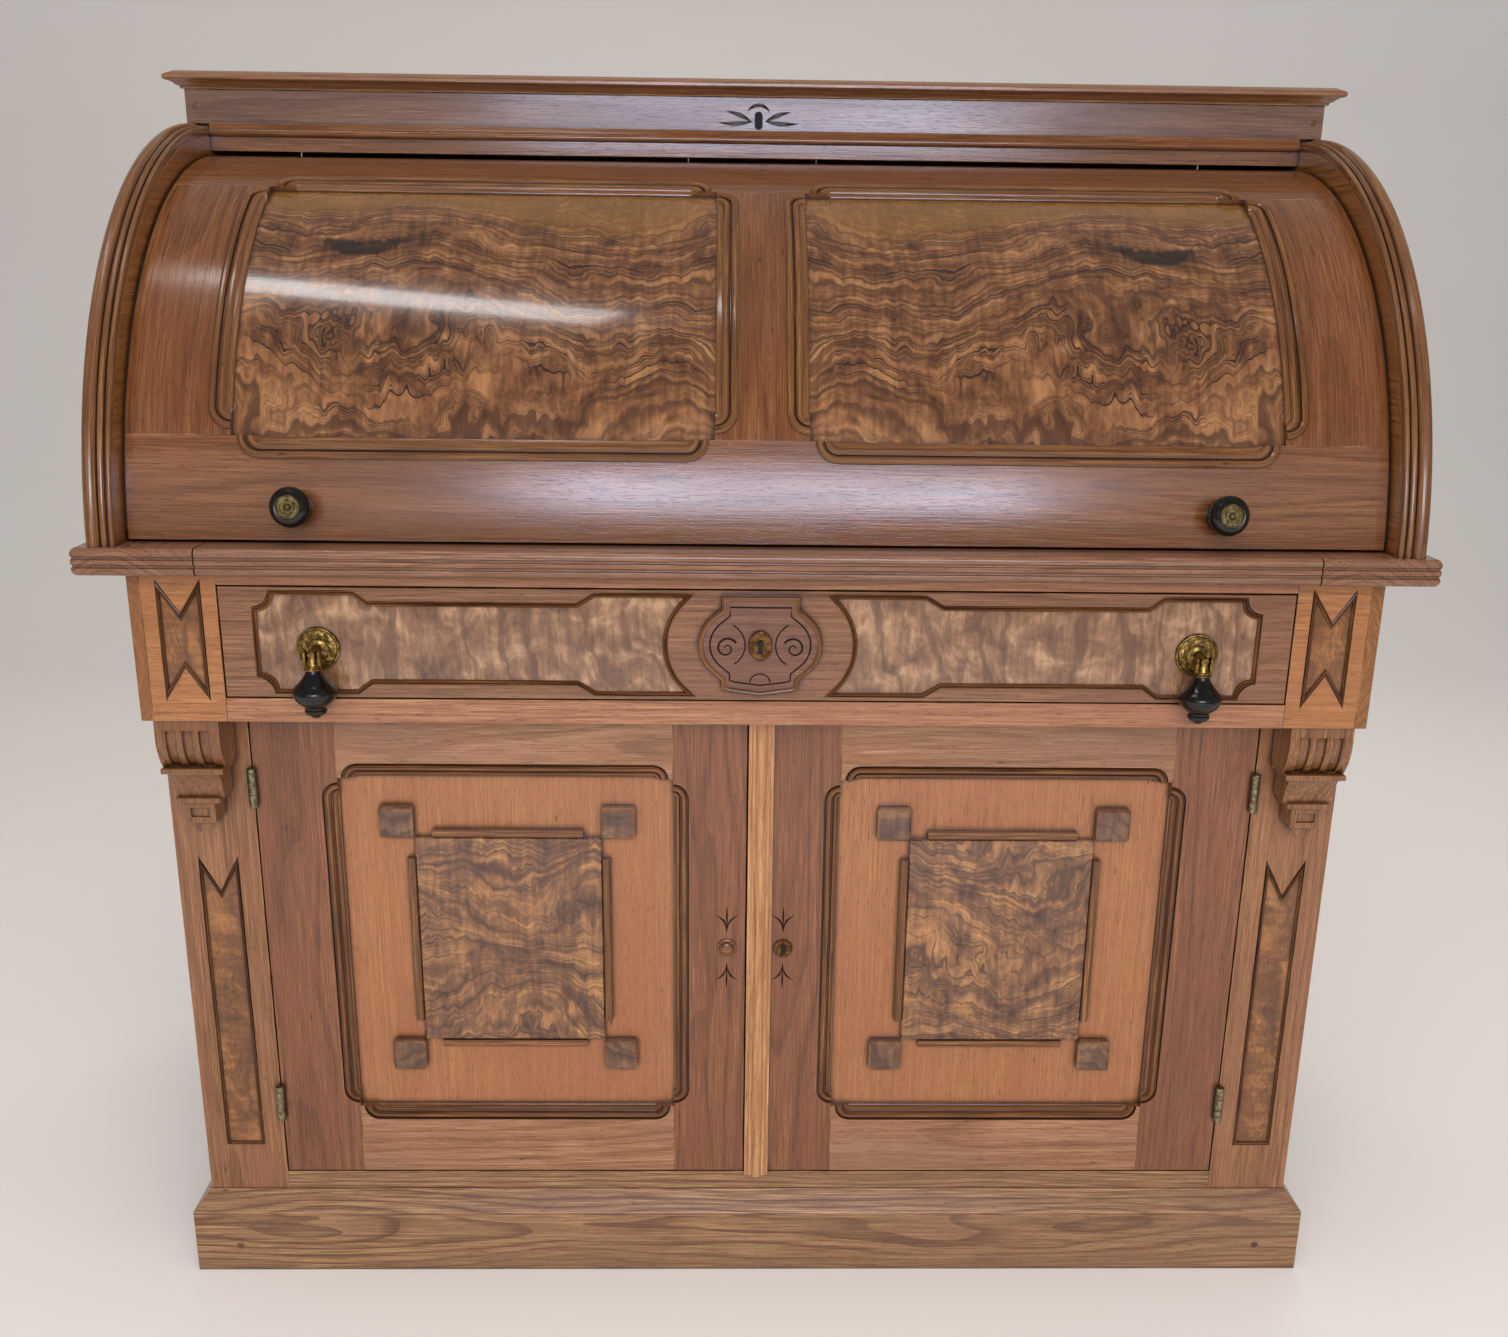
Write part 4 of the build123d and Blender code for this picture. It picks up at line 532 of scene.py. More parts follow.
def cut_away(made, cutters, seed, along="", unroll=None, shade=-1.0):
    """Cuts a mesh of cutters out of a finished piece and lays its grain again. The shade is written on
    the cut faces: at -1 they are painted dark, painted shade in the cuts; at 0 they are left plain."""
    bmesh.ops.recalc_face_normals(cutters, faces=cutters.faces)
    mark = cutters.faces.layers.float.new("arris")
    for face in cutters.faces:
        face[mark] = shade
    mesh = bpy.data.meshes.new("cutters")
    cutters.to_mesh(mesh)
    cutters.free()
    tool = bpy.data.objects.new("cutters", mesh)
    bpy.context.scene.collection.objects.link(tool)
    cut = made.modifiers.new("cut", "BOOLEAN")
    cut.operation = "DIFFERENCE"
    cut.solver = "EXACT"
    cut.use_self = True
    cut.object = tool
    made.modifiers.move(len(made.modifiers) - 1, 0)
    even = made.modifiers["even_normals"]
    even.show_viewport = False
    bpy.context.view_layer.update()
    result = bpy.data.meshes.new_from_object(made.evaluated_get(bpy.context.evaluated_depsgraph_get()))
    made.modifiers.remove(cut)
    even.show_viewport = True
    bm = bmesh.new()
    bm.from_mesh(result)
    lay_grain(bm, seed, along, unroll)
    bm.to_mesh(result)
    bm.free()
    made.data = result
    result.set_sharp_from_angle(angle=sharp_angle)
    bpy.data.objects.remove(tool)


def arc(x, z, wide, high, angles):
    """Points round an ellipse in mm, at angles in degrees from its right-hand end."""
    turns = [math.radians(angle) for angle in angles]
    return [Vector((x + wide * math.cos(t), z + high * math.sin(t))) for t in turns]


carved_walnut = walnut(
    "walnut_escutcheon_varnish", "#46291a", "#6d4635", "#8c6552", "#644130", rough=0.25,
)
low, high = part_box("drawer_escutcheon")
shield_z = (low.z + high.z) / 2 / mm + 2.0
foot = [(-27, -40), (0, -43.5), (27, -40), (31.5, -38.5), (31.5, -31), (37, -26.5)]
crown = [(37, 26.5), (31.5, 31), (31.5, 40.5), (-31.5, 40.5), (-31.5, 31), (-37, 26.5)]
shield = foot + arc(22.5, 0, 29.5, 29.5, range(-50, 51, 10))
shield += crown + arc(-22.5, 0, 29.5, 29.5, range(130, 231, 10))
shield += [(-37, -26.5), (-31.5, -31), (-31.5, -38.5)]
shield = [Vector(p) + Vector((0, shield_z)) for p in shield]
shield_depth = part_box("drawer_front")[0].y / mm
on_shield = on_front(low.y / mm + 1.6)
bm = bmesh.new()
plan = bm.faces.new([bm.verts.new(on_shield(p.x, p.y, 0.0)) for p in shield])
raised = bmesh.ops.extrude_face_region(bm, geom=[plan])["geom"]
rise = Vector((0, (shield_depth + 0.5) * mm - plan.verts[0].co.y, 0))
bmesh.ops.translate(bm, vec=rise, verts=[v for v in raised if isinstance(v, bmesh.types.BMVert)])
bmesh.ops.recalc_face_normals(bm, faces=bm.faces)
bm.faces.layers.float.new("arris")
lay_grain(bm, "shield")
escutcheon = piece(
    "escutcheon_carved", bm, "long_drawer", carved_walnut, ("drawer_escutcheon",),
)
cutters = bmesh.new()
scroll_turns = 1.4
inner = [Vector((p.x * 0.86, shield_z + (p.y - shield_z) * 0.84)) for p in shield]
gouge(cutters, inner + inner[:1], [1.7] * (len(inner) + 1), 1.3, on_shield)
for side in (-1, 1):
    spiral = []
    widths = []
    for k in range(26):
        share = k / 25
        turn = math.radians(150) - 2 * math.pi * scroll_turns * share
        reach = 1.6 + 8.4 * (1 - share) ** 1.1
        out, up = reach * math.cos(turn), reach * math.sin(turn)
        spiral.append(Vector((side * (30 + out), shield_z - 3 + up)))
        widths.append(2.3 - 1.1 * share)
    gouge(cutters, spiral, widths, 1.7, on_shield)
    cheek = arc(34, shield_z, 20.5, 20.5, range(118, 243, 12))
    cheek = [Vector((side * p.x, p.y)) for p in cheek]
    gouge(cutters, cheek, [1.5] * len(cheek), 1.2, on_shield)
arch = arc(0, shield_z - 34, 9, 8, range(0, 181, 20))
gouge(cutters, arch, [1.5] * len(arch), 1.2, on_shield)
# The faces of these gouge cuts are painted dark: painted shade in the cuts.
cut_away(escutcheon, cutters, "shield", "x")
shield_bead = (
    (-2.6, -8.0), (-2.6, -1.8), (-1.9, -0.4), (-0.6, 0.9), (1.0, 1.4), (2.4, 0.8),
    (3.2, -0.6), (3.4, -8.0),
)
moulded("escutcheon_bead", mitred(shield), shield_bead, on_shield, "long_drawer", bead_walnut)
# Near-black with a faint speckle: the iron of the fall lock, and painted shade standing in for the dark
# inside each keyhole.
iron_and_keyhole_shade, tree = blank("iron_and_keyhole_painted_shade")
speckle = add(tree, "TexNoise", {"Scale": 400.0, "Detail": 3.0})
colour = add(tree, "Mix", {**mixed, 0: speckle, 6: "#060404", 7: "#150c08"}, mixed_colour)
varnish(tree, {"Base Color": colour, "Roughness": 0.7})


def keyhole(name, centre, depth, body):
    """A keyhole: a near-black solid in the outline of a round hole over a slot that widens downward,
    from just proud of the face to 1.5 mm behind it; its colour is painted shade for the dark inside the
    hole.
    """
    bm = bmesh.new()
    ring = arc(0, 2.6, 2.6, 2.6, range(-50, 231, 20)) + [Vector((-2.3, -6.0)), Vector((2.3, -6.0))]
    shape = [p + centre for p in ring]
    skin(bm, [[bm.verts.new(on_front(depth)(p.x, p.y, h)) for p in shape] for h in (0.25, -1.5)])
    piece(name, bm, body, iron_and_keyhole_shade)


lock_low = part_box("drawer_lock")[0]
key_rise = 12.5
keyhole("drawer_keyhole", Vector((0, lock_low.z / mm + key_rise)), lock_low.y / mm, "long_drawer")

# ------------------------------------------------------------------ brass and ebony fittings
# Stamped brass, dulled brown in its hollows and bright where fingers rub it. The drops are
# turned in ebonised wood: black stain under a wax shine.


def brass(name, clean="#b08d4c", dull="#4b3a1c", rough=0.34):
    """Old brass: a metal ground with brown tarnish that lies in the hollows."""
    made, tree = blank(name)
    spot = add(tree, "TexCoord", {}, "Object")
    stain = {"Vector": spot, "Scale": 260.0, "Detail": 4.0, "Roughness": 0.65}
    cloud = add(tree, "TexNoise", stain)
    hollow = add(tree, "AmbientOcclusion", {"samples": 5, "Distance": 3 * mm}, "AO")
    worn = add(tree, "MapRange", {**smooth, 0: cloud, 1: 0.38, 2: 0.66, 3: 0.15, 4: 1.0})
    colour = add(tree, "Mix", {**mixed, 0: worn, 6: dull, 7: clean}, mixed_colour)
    grime = add(tree, "MapRange", {**smooth, 0: hollow, 1: 0.45, 2: 0.95, 3: 0.85, 4: 0.0})
    colour = add(tree, "Mix", {**mixed, 0: grime, 6: colour, 7: "#1d150a"}, mixed_colour)
    span = {3: rough + 0.18, 4: rough}
    polish = add(tree, "MapRange", {**smooth, 0: cloud, 1: 0.3, 2: 0.7, **span})
    bump = add(tree, "Bump", {"Height": cloud, "Strength": 0.2, "Distance": 0.1 * mm})
    varnish(tree, {"Base Color": colour, "Roughness": polish, "Normal": bump, "Metallic": 1.0})
    return made


old_brass = brass("brass_tarnished")
plate_brass = brass("brass_browned", "#86603a", "#452c19", 0.36)
planed("drawer_lock", plate_brass, width=0)


def ebonised(name):
    """Black-stained hardwood, close-grained, waxed; brown shows through where it is handled."""
    made, tree = blank(name)
    spot = add(tree, "TexCoord", {}, "Object")
    stretched = add(tree, "Mapping", {"Vector": spot, "Scale": (900.0, 900.0, 60.0)})
    fibre = add(tree, "TexNoise", {"Vector": stretched, "Scale": 1.0, "Detail": 3.0})
    rub = add(tree, "TexNoise", {"Vector": spot, "Scale": 70.0, "Detail": 3.0})
    strand = add(tree, "MapRange", {**smooth, 0: fibre, 1: 0.4, 2: 0.7, 3: 0.0, 4: 1.0})
    colour = add(tree, "Mix", {**mixed, 0: strand, 6: "#050505", 7: "#120e0c"}, mixed_colour)
    bare = add(tree, "MapRange", {**smooth, 0: rub, 1: 0.60, 2: 0.75, 3: 0.0, 4: 0.5})
    colour = add(tree, "Mix", {**mixed, 0: bare, 6: colour, 7: "#3a2618"}, mixed_colour)
    wax = add(tree, "MapRange", {**smooth, 0: rub, 1: 0.3, 2: 0.7, 3: 0.12, 4: 0.22})
    bump = add(tree, "Bump", {"Height": fibre, "Strength": 0.15, "Distance": 0.1 * mm})
    varnish(tree, {"Base Color": colour, "Roughness": wax, "Normal": bump})
    return made


ebony = ebonised("ebonised_wood_waxed")


def turned(bm, profile, centre, axis, steps=56, relief=None):
    """Adds a turned shape: the profile is (radius, distance along the axis) in mm; relief
    may raise each point by its radius and angle, as a stamped pattern does."""
    axis = Vector(axis).normalized()
    aside = axis.orthogonal().normalized()
    across = axis.cross(aside)
    rows = []
    for radius, out in profile:
        if radius < 1e-6:
            rows.append([bm.verts.new(centre + axis * out * mm)])
            continue
        row = []
        for k in range(steps):
            turn = 2 * math.pi * k / steps
            lift = relief(radius, turn) if relief else 0.0
            spoke = aside * math.cos(turn) + across * math.sin(turn)
            row.append(bm.verts.new(centre + (spoke * radius + axis * (out + lift)) * mm))
        rows.append(row)
    for row, after in zip(rows, rows[1:]):
        for k in range(steps):
            n = (k + 1) % steps
            ring = [row[k % len(row)], row[n % len(row)], after[n % len(after)], after[k % len(after)]]
            bm.faces.new(list(dict.fromkeys(ring)))


def rounded(points, steps=6):
    """A smooth line through the points of a turner's profile."""
    line = []
    ends = [points[0]] + list(points) + [points[-1]]
    for a, b, c, d in zip(ends, ends[1:], ends[2:], ends[3:]):
        for k in range(steps):
            t = k / steps
            spot = []
            for p, q, r, s in zip(a, b, c, d):
                bend = (2 * p - 5 * q + 4 * r - s) * t * t + (3 * q - p - 3 * r + s) * t**3
                spot.append(0.5 * (2 * q + (r - p) * t + bend))
            line.append(tuple(spot))
    return line + [points[-1]]


joints = {joint["name"]: joint for joint in frame["joints"]}


def leafwork(radius, turn):
    """Stamped leaves and beads round a rosette, 0.9 mm high at most."""
    ring = max(0.0, 1 - abs(radius - 12.6) / 4.4)
    leaf = 0.5 + 0.5 * math.cos(8 * turn + 1.3 * math.sin(radius * 1.1))
    vein = 0.5 + 0.5 * math.cos(24 * turn + radius * 0.8)
    return ring * (0.65 * leaf + 0.3 * vein)


rosettes = bmesh.new()
front_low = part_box("drawer_inlays")[0]
for side in ("left", "right"):
    hang = Vector(joints[f"pull_{side}_swing"]["pos_m"])
    seat = Vector((hang.x, front_low.y, hang.z))
    reach = (seat.y - hang.y) / mm
    ring = [(19.2, 0.0), (19.2, 1.6), (18.6, 2.4), (17.6, 2.6), (16.8, 1.8)]
    ring += [(16.4 - 0.6 * k, 1.6 + 0.04 * k) for k in range(13)]
    ring += [(8.4, 3.0), (7.2, 3.6), (5.4, 3.9), (4.2, 4.6)]
    ring += [(4.0, reach + 3.0), (3.0, reach + 4.4), (0.0, reach + 4.6)]
    turned(rosettes, ring, seat, (0, -1, 0), 96, leafwork)
    pin = [(0.0, -7.6), (1.5, -7.6), (1.5, 7.6), (0.0, 7.6)]
    turned(rosettes, pin, hang, (1, 0, 0), 20)
piece("rosettes_stamped", rosettes, "long_drawer", old_brass, ("pull_rosettes",))

for side in ("left", "right"):
    hang = Vector(joints[f"pull_{side}_swing"]["pos_m"])
    fork = bmesh.new()
    cup = [(0.0, -1.6), (3.2, -1.6), (4.2, -0.4), (4.4, 2.0), (4.9, 5.5), (6.2, 9.5)]
    cup += [(7.0, 10.2), (7.0, 11.6), (7.9, 12.4), (7.9, 13.6), (6.6, 14.6), (0.0, 14.6)]
    turned(fork, cup, hang, (0, 0, -1), 48)
    for ear in (-1, 1):
        disc = [(0.0, 5.0), (3.6, 5.0), (4.1, 5.5), (4.1, 6.9), (3.6, 7.4), (0.0, 7.4)]
        turned(fork, disc, hang, (ear, 0, 0), 32)
        cheek = bmesh.ops.create_cube(fork, size=1.0)["verts"]
        bmesh.ops.scale(fork, vec=Vector((2.4, 7.0, 10.0)) * mm, verts=cheek)
        bmesh.ops.translate(fork, vec=hang + Vector((ear * 6.2, 0, -5.0)) * mm, verts=cheek)
    piece(f"drop_fork_{side}", fork, f"pull_{side}", old_brass)
    drop = bmesh.new()
    neck = [(6.0, 13.4), (6.6, 15.5), (8.0, 18.5), (12.5, 24.5)]
    body = rounded(neck + [(17.6, 30.0), (19.1, 35.0), (16.6, 41.0), (11.0, 46.2)])
    foot = [(9.2, 47.4), (9.0, 48.6), (9.8, 50.2), (9.4, 52.6), (7.4, 54.4), (4.6, 55.2)]
    tip = [(4.2, 55.6), (3.9, 56.6), (2.4, 57.4), (0.0, 57.6)]
    turned(drop, [(0.0, 13.4)] + body + foot + tip, hang, (0, 0, -1), 64)
    node = f"pull_drop_{side}"
    piece(f"drop_turned_{side}", drop, f"pull_{side}", ebony, (node,))

# ------------------------------------------------------------------ cupboard doors
# Framed doors: stiles and rails with stopped ledges, a straight-grained field, a raised burl
# panel held by four studs, and mouldings whose ends curl round to the field.

field_walnut = walnut(
    "walnut_field_varnish", "#824e2d", "#9b653c", "#b27e4d", "#945a38", ring=3.4, figure=0.35,
)
stile_walnut = walnut("walnut_stile_varnish", "#502c16", "#76472a", "#936140", "#6b402a", rough=0.3)
rail_walnut = walnut("walnut_rail_varnish", "#663f25", "#8f6340", "#af8664", "#855f4c", rough=0.3)
door_burl = burl(
    "burl_veneer_doors", "#412818", "#7d5336", "#b17f4b", spacing=9.0, swirl=95.0, share=0.8,
)
stud_burl = burl("burl_studs", "#352013", "#603f2b", "#835e41", spacing=9.0, swirl=60.0, share=0.4)


def solids(node):
    """The lowest and highest corner of each solid of a CAD node, in mm."""
    bm = cad_mesh(node)
    found = []
    for solid in parts_of(bm):
        points = np.array([v.co for v in solid]) / mm
        found.append((Vector(points.min(0)), Vector(points.max(0))))
    bm.free()
    return found


def block(low, high, place, steps=(1, 1)):
    """A block from low to high, given as the two ways on the face and the height off it."""
    bm = bmesh.new()
    grid = {}
    for i in range(steps[0] + 1):
        for j in range(steps[1] + 1):
            for k in range(2):
                a = low[0] + (high[0] - low[0]) * i / steps[0]
                b = low[1] + (high[1] - low[1]) * j / steps[1]
                grid[i, j, k] = bm.verts.new(place(a, b, (low[2], high[2])[k]))
    for i in range(steps[0]):
        for j in range(steps[1]):
            for k in range(2):
                far = (grid[i + 1, j + 1, k], grid[i, j + 1, k])
                bm.faces.new((grid[i, j, k], grid[i + 1, j, k], *far))
    for i in range(steps[0]):
        for j in (0, steps[1]):
            bm.faces.new((grid[i, j, 0], grid[i + 1, j, 0], grid[i + 1, j, 1], grid[i, j, 1]))
    for j in range(steps[1]):
        for i in (0, steps[0]):
            bm.faces.new((grid[i, j, 0], grid[i, j + 1, 0], grid[i, j + 1, 1], grid[i, j, 1]))
    bmesh.ops.recalc_face_normals(bm, faces=bm.faces)
    return bm


def gather(whole, part):
    """Moves a separate block into the mesh that holds the whole piece."""
    mesh = bpy.data.meshes.new("part")
    part.to_mesh(mesh)
    part.free()
    whole.from_mesh(mesh)


def ledge_spots(start, end, width, step):
    """Distances along a ledge: close together round its curled ends, then evenly."""
    curl = [width * (1 - math.cos(math.radians(a))) for a in (0, 12, 24, 36, 48, 60, 72, 90)]
    length = end - start - 2 * width
    count = max(1, round(length / step))
    middle = [start + width + length * k / count for k in range(1, count)]
    return [start + c for c in curl] + middle + [end - c for c in reversed(curl)]


def ledge_cutter(bm, start, end, width, depth, place, step):
    """Adds the cutter of a stopped ledge along an edge; its ends are quarter circles."""
    rows = []
    for spot in ledge_spots(start, end, width, step):
        away = max(start + width - spot, spot - end + width, 0.0)
        out = math.sqrt(max(width * width - away * away, 0.0))
        corners = ((-2.0, 4.0), (max(out, 0.01), 4.0), (max(out, 0.01), -depth), (-2.0, -depth))
        rows.append([bm.verts.new(place(spot, b, h)) for b, h in corners])
    skin(bm, rows)


def ledge_stations(start, end, width, step):
    """Stations of the moulding in a stopped ledge, from its outer line in to the field."""
    stations = []
    for angle in (0, 15, 30, 45, 60, 75, 90):
        way = Vector((math.cos(math.radians(angle)), math.sin(math.radians(angle))))
        stations.append((Vector((start + width * (1 - way.x), width * way.y)), Vector((way.x, -way.y))))
    back = [(Vector((start + end - p.x, p.y)), Vector((-d.x, d.y))) for p, d in reversed(stations)]
    count = max(1, round((end - start - 2 * width) / step))
    first, last = stations[-1][0], back[0][0]
    middle = [(first.lerp(last, k / count), Vector((0.0, -1.0))) for k in range(1, count)]
    return stations + middle + back


door_ledge = 8.0
door_width = 15.0
door_profile = (
    (0.15, -7.8), (0.15, -0.8), (0.8, -2.8), (1.6, -2.9), (2.3, -0.4), (4.0, 1.0), (6.0, 0.9),
    (7.4, -0.8), (7.9, -3.6), (8.6, -3.9), (9.6, -3.0), (11.2, -2.9), (12.6, -4.2), (13.2, -6.2),
    (14.6, -6.8), (14.6, -7.8),
)
for side, body in (("left", "door_left"), ("right", "door_right")):
    field_low, field_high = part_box(f"door_{side}_field")
    face_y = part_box(f"door_{side}_stiles")[0].y / mm
    front = on_front(face_y)
    x_edges = (field_low.x / mm, field_high.x / mm)
    z_edges = (field_low.z / mm, field_high.z / mm)
    runs = []
    for edge, out in ((x_edges[0], -1), (x_edges[1], 1)):
        runs.append(("stile", z_edges, lambda a, b, h, e=edge, o=out, f=front: f(e + o * b, a, h)))
    for edge, out in ((z_edges[0], -1), (z_edges[1], 1)):
        runs.append(("rail", x_edges, lambda a, b, h, e=edge, o=out, f=front: f(a, e + o * b, h)))
    for kind, material in (("stiles", stile_walnut), ("rails", rail_walnut)):
        node = f"door_{side}_{kind}"
        wood = bmesh.new()
        for low, high in solids(node):
            plank = block((low.x, low.z, face_y - high.y), (high.x, high.z, 0.0), front)
            gather(wood, plank)
        ease_arrises(wood, 0.5)
        lay_grain(wood, node)
        made = piece(node + "_finished", wood, body, material, (node,))
        cutters = bmesh.new()
        for form, (start, end), place in runs:
            if form + "s" == kind:
                ledge_cutter(cutters, start + 4, end - 4, door_width, door_ledge, place, 400)
        cut_away(made, cutters, node, "z" if kind == "stiles" else "x", shade=0.0)
    for count, (form, (start, end), place) in enumerate(runs):
        stations = ledge_stations(start + 4, end - 4, door_width, 400)
        label = f"door_{side}_moulding_{count + 1}"
        moulded(label, stations, door_profile, place, body, bead_walnut, closed=False)
    planed(f"door_{side}_field", field_walnut, along="z", width=0)
    planed(f"door_{side}_burl", door_burl, along="x", width=0.3)
    trim = cad_mesh(f"door_{side}_trim")
    studs = bmesh.new()
    for solid in parts_of(trim):
        points = np.array([v.co for v in solid]) / mm
        size = points.max(0) - points.min(0)
        outside = points[:, 0].min() < x_edges[0] - 2 or points[:, 0].max() > x_edges[1] + 2
        outside = outside or points[:, 2].min() < z_edges[0] - 2 or points[:, 2].max() > z_edges[1] + 2
        square = abs(size[0] - size[2]) < 1
        if square:
            centre = (points.max(0) + points.min(0)) / 2
            low_corner = (centre[0] - size[0] / 2, centre[2] - size[2] / 2, -1.0)
            high_corner = (centre[0] + size[0] / 2, centre[2] + size[2] / 2, size[1] - 1.0)
            copied = block(low_corner, high_corner, on_front(points[:, 1].max() - 1.0))
            gather(studs, copied)
        if outside or square:
            bmesh.ops.delete(trim, geom=solid, context="VERTS")
    ease_arrises(studs, 1.8)
    lay_grain(studs, f"studs {side}")
    piece(f"door_{side}_studs", studs, body, stud_burl)
    ease_arrises(trim, 0.3)
    lay_grain(trim, f"beads {side}")
    piece(f"door_{side}_beads", trim, body, bead_walnut, (f"door_{side}_trim",))

golden_walnut = walnut("walnut_golden_varnish", "#865835", "#b27f51", "#d6a673", "#a36f44", 4.0, 0.26)
planed("astragal", golden_walnut)
planed("door_lock", plate_brass, width=0)

# ------------------------------------------------------------------ door plug, lock and carved sprigs
# The left door's dummy plug is turned in walnut. Above and below it, and the lock, a sprig of
# three leaves is cut in with a V gouge.

low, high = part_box("door_plug")
plug_seat = Vector(((low.x + high.x) / 2, high.y, (low.z + high.z) / 2))
plug = bmesh.new()
button = [(0.0, 0.0), (9.5, 0.0), (9.5, 1.4), (8.6, 2.0)]
button += rounded([(7.6, 2.2), (6.4, 4.1), (3.6, 5.3), (0.0, 5.6)])
turned(plug, button, plug_seat, (0, -1, 0), 48)
plug.faces.layers.float.new("arris")
lay_grain(plug, "plug")
piece("door_plug_turned", plug, "door_left", bead_walnut, ("door_plug",))
door_key = Vector((-plug_seat.x, plug_seat.z)) / mm
keyhole("door_keyhole", door_key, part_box("door_lock")[0].y / mm, "door_right")
for side, body in ((-1, "door_left"), (1, "door_right")):
    cutters = bmesh.new()
    centre = plug_seat.z / mm
    for way in (-1, 1):
        root = centre + way * 15
        middle = abs(plug_seat.x / mm) * side
        place = on_front(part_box(f"{body}_stiles")[0].y / mm)
        stem = [Vector((middle, root + way * (4 + 25 * t))) for t in (0, 0.2, 0.4, 0.6, 0.8, 1)]
        gouge(cutters, stem, (0.5, 1.1, 1.8, 2.2, 1.6, 0.3), 1.3, place)
        for hand in (-1, 1):
            leaf = []
            for t in (0, 0.2, 0.4, 0.6, 0.8, 1):
                out, up = 2.5 * t + 9 * t**3, 1 + 19 * t**0.75
                leaf.append(Vector((middle + hand * out, root + way * up)))
            gouge(cutters, leaf, (0.5, 1.2, 2.0, 2.4, 1.8, 0.3), 1.3, place)
    # The faces of these gouge cuts are painted dark: painted shade in the cuts.
    cut_away(bpy.data.objects[f"{body}_stiles_finished"], cutters, f"{body}_stiles", "z")

# ------------------------------------------------------------------ hinges
# Steel-pinned brass butts let into the meeting edges; only the knuckles show.

hinge_brass = brass("brass_hinges", "#aba283", "#5f5641", 0.4)
for name in ("hinge_posts", "door_left_hinges", "door_right_hinges"):
    planed(name, hinge_brass, width=0)

# ------------------------------------------------------------------ deck and writing slide
# The writing surface slides out between two fixed ends. All three share one reeded edge. The
# slide has a let-in panel of leather, which only shows with the fall turned back.

deck_walnut = walnut("walnut_deck_varnish", "#4f2f1e", "#765038", "#987159", "#714d3d", rough=0.25)
planed("deck_ends", deck_walnut, along="y", width=0.4)
planed("deck_rear", pale_timber, along="x")
planed("slide_top", deck_walnut, along="x", width=0.4)


def leather(name):
    """Desk leather: dyed hide, 0.8 mm grain cells drawn 2 mm wide, waxed and scuffed."""
    made, tree = blank(name)
    spot = add(tree, "TexCoord", {}, "Object")
    grain = {"feature": "DISTANCE_TO_EDGE", "Vector": spot, "Scale": 480.0}
    cells = add(tree, "TexVoronoi", grain)
    scuff = add(tree, "TexNoise", {"Vector": spot, "Scale": 22.0, "Detail": 5.0})
    faded = add(tree, "MapRange", {**smooth, 0: scuff, 1: 0.35, 2: 0.7, 3: 0.0, 4: 1.0})
    colour = add(tree, "Mix", {**mixed, 0: faded, 6: "#2c3a24", 7: "#46542f"}, mixed_colour)
    crease = add(tree, "MapRange", {**smooth, 0: cells, 1: 0.0, 2: 0.12, 3: 0.6, 4: 0.0})
    colour = add(tree, "Mix", {**mixed, 0: crease, 6: colour, 7: "#161d12"}, mixed_colour)
    wax = add(tree, "MapRange", {**smooth, 0: scuff, 1: 0.3, 2: 0.7, 3: 0.38, 4: 0.55})
    bump = add(tree, "Bump", {"Height": cells, "Strength": 0.35, "Distance": 0.2 * mm})
    varnish(tree, {"Base Color": colour, "Roughness": wax, "Normal": bump})
    return made


planed("slide_inset", leather("leather_green_dyed"), width=0)

# ------------------------------------------------------------------ end panels
# Quarter-round ends with a reeded moulding bent round the front edge. The tongues of the fall
# run in a curved groove on the inner face.

pivot = Vector(joints["fall_turn"]["pos_m"])
curve_radius = 0.358


def unrolled(spot):
    """A point on the fall laid flat: across, round the curve, and out from the axis."""
    away = math.hypot(pivot.y - spot.y, spot.z - pivot.z)
    return Vector((spot.x, math.atan2(spot.z - pivot.z, pivot.y - spot.y) * curve_radius, away))


planed("end_panels", carcase_walnut, along="y", width=0.4)
edge_walnut = walnut("walnut_edge_varnish", "#41230f", "#6a4323", "#936b44", "#623f25", rough=0.22)
planed("edge_mouldings", edge_walnut, along="y", width=0, unroll=unrolled)

# ------------------------------------------------------------------ fall
# A rigid curved frame, coopered and veneered: a wide bottom rail, a top rail, three uprights
# and two curved burl panels cut as a mirrored pair, with mouldings that curl in at the ends.


def spans(node):
    """For each solid of the fall: x, angle and radius at its low and high ends, in mm and degrees."""
    bm = cad_mesh(node)
    found = []
    for solid in parts_of(bm):
        rows = []
        for v in solid:
            y, z = pivot.y - v.co.y, v.co.z - pivot.z
            rows.append((v.co.x / mm, math.degrees(math.atan2(z, y)), math.hypot(y, z) / mm))
        found.append((Vector(np.min(rows, 0)), Vector(np.max(rows, 0))))
    bm.free()
    return found


fall_radius = max(high.z for low, high in spans("fall_stiles"))
arc_mm = math.radians(1) * fall_radius


def on_fall(x, run, height):
    """Places a point given by x, its run round the curve and its height off the fall, in mm."""
    turn = run / fall_radius
    away = fall_radius + height
    return Vector((x * mm, pivot.y - away * math.cos(turn) * mm, pivot.z + away * math.sin(turn) * mm))


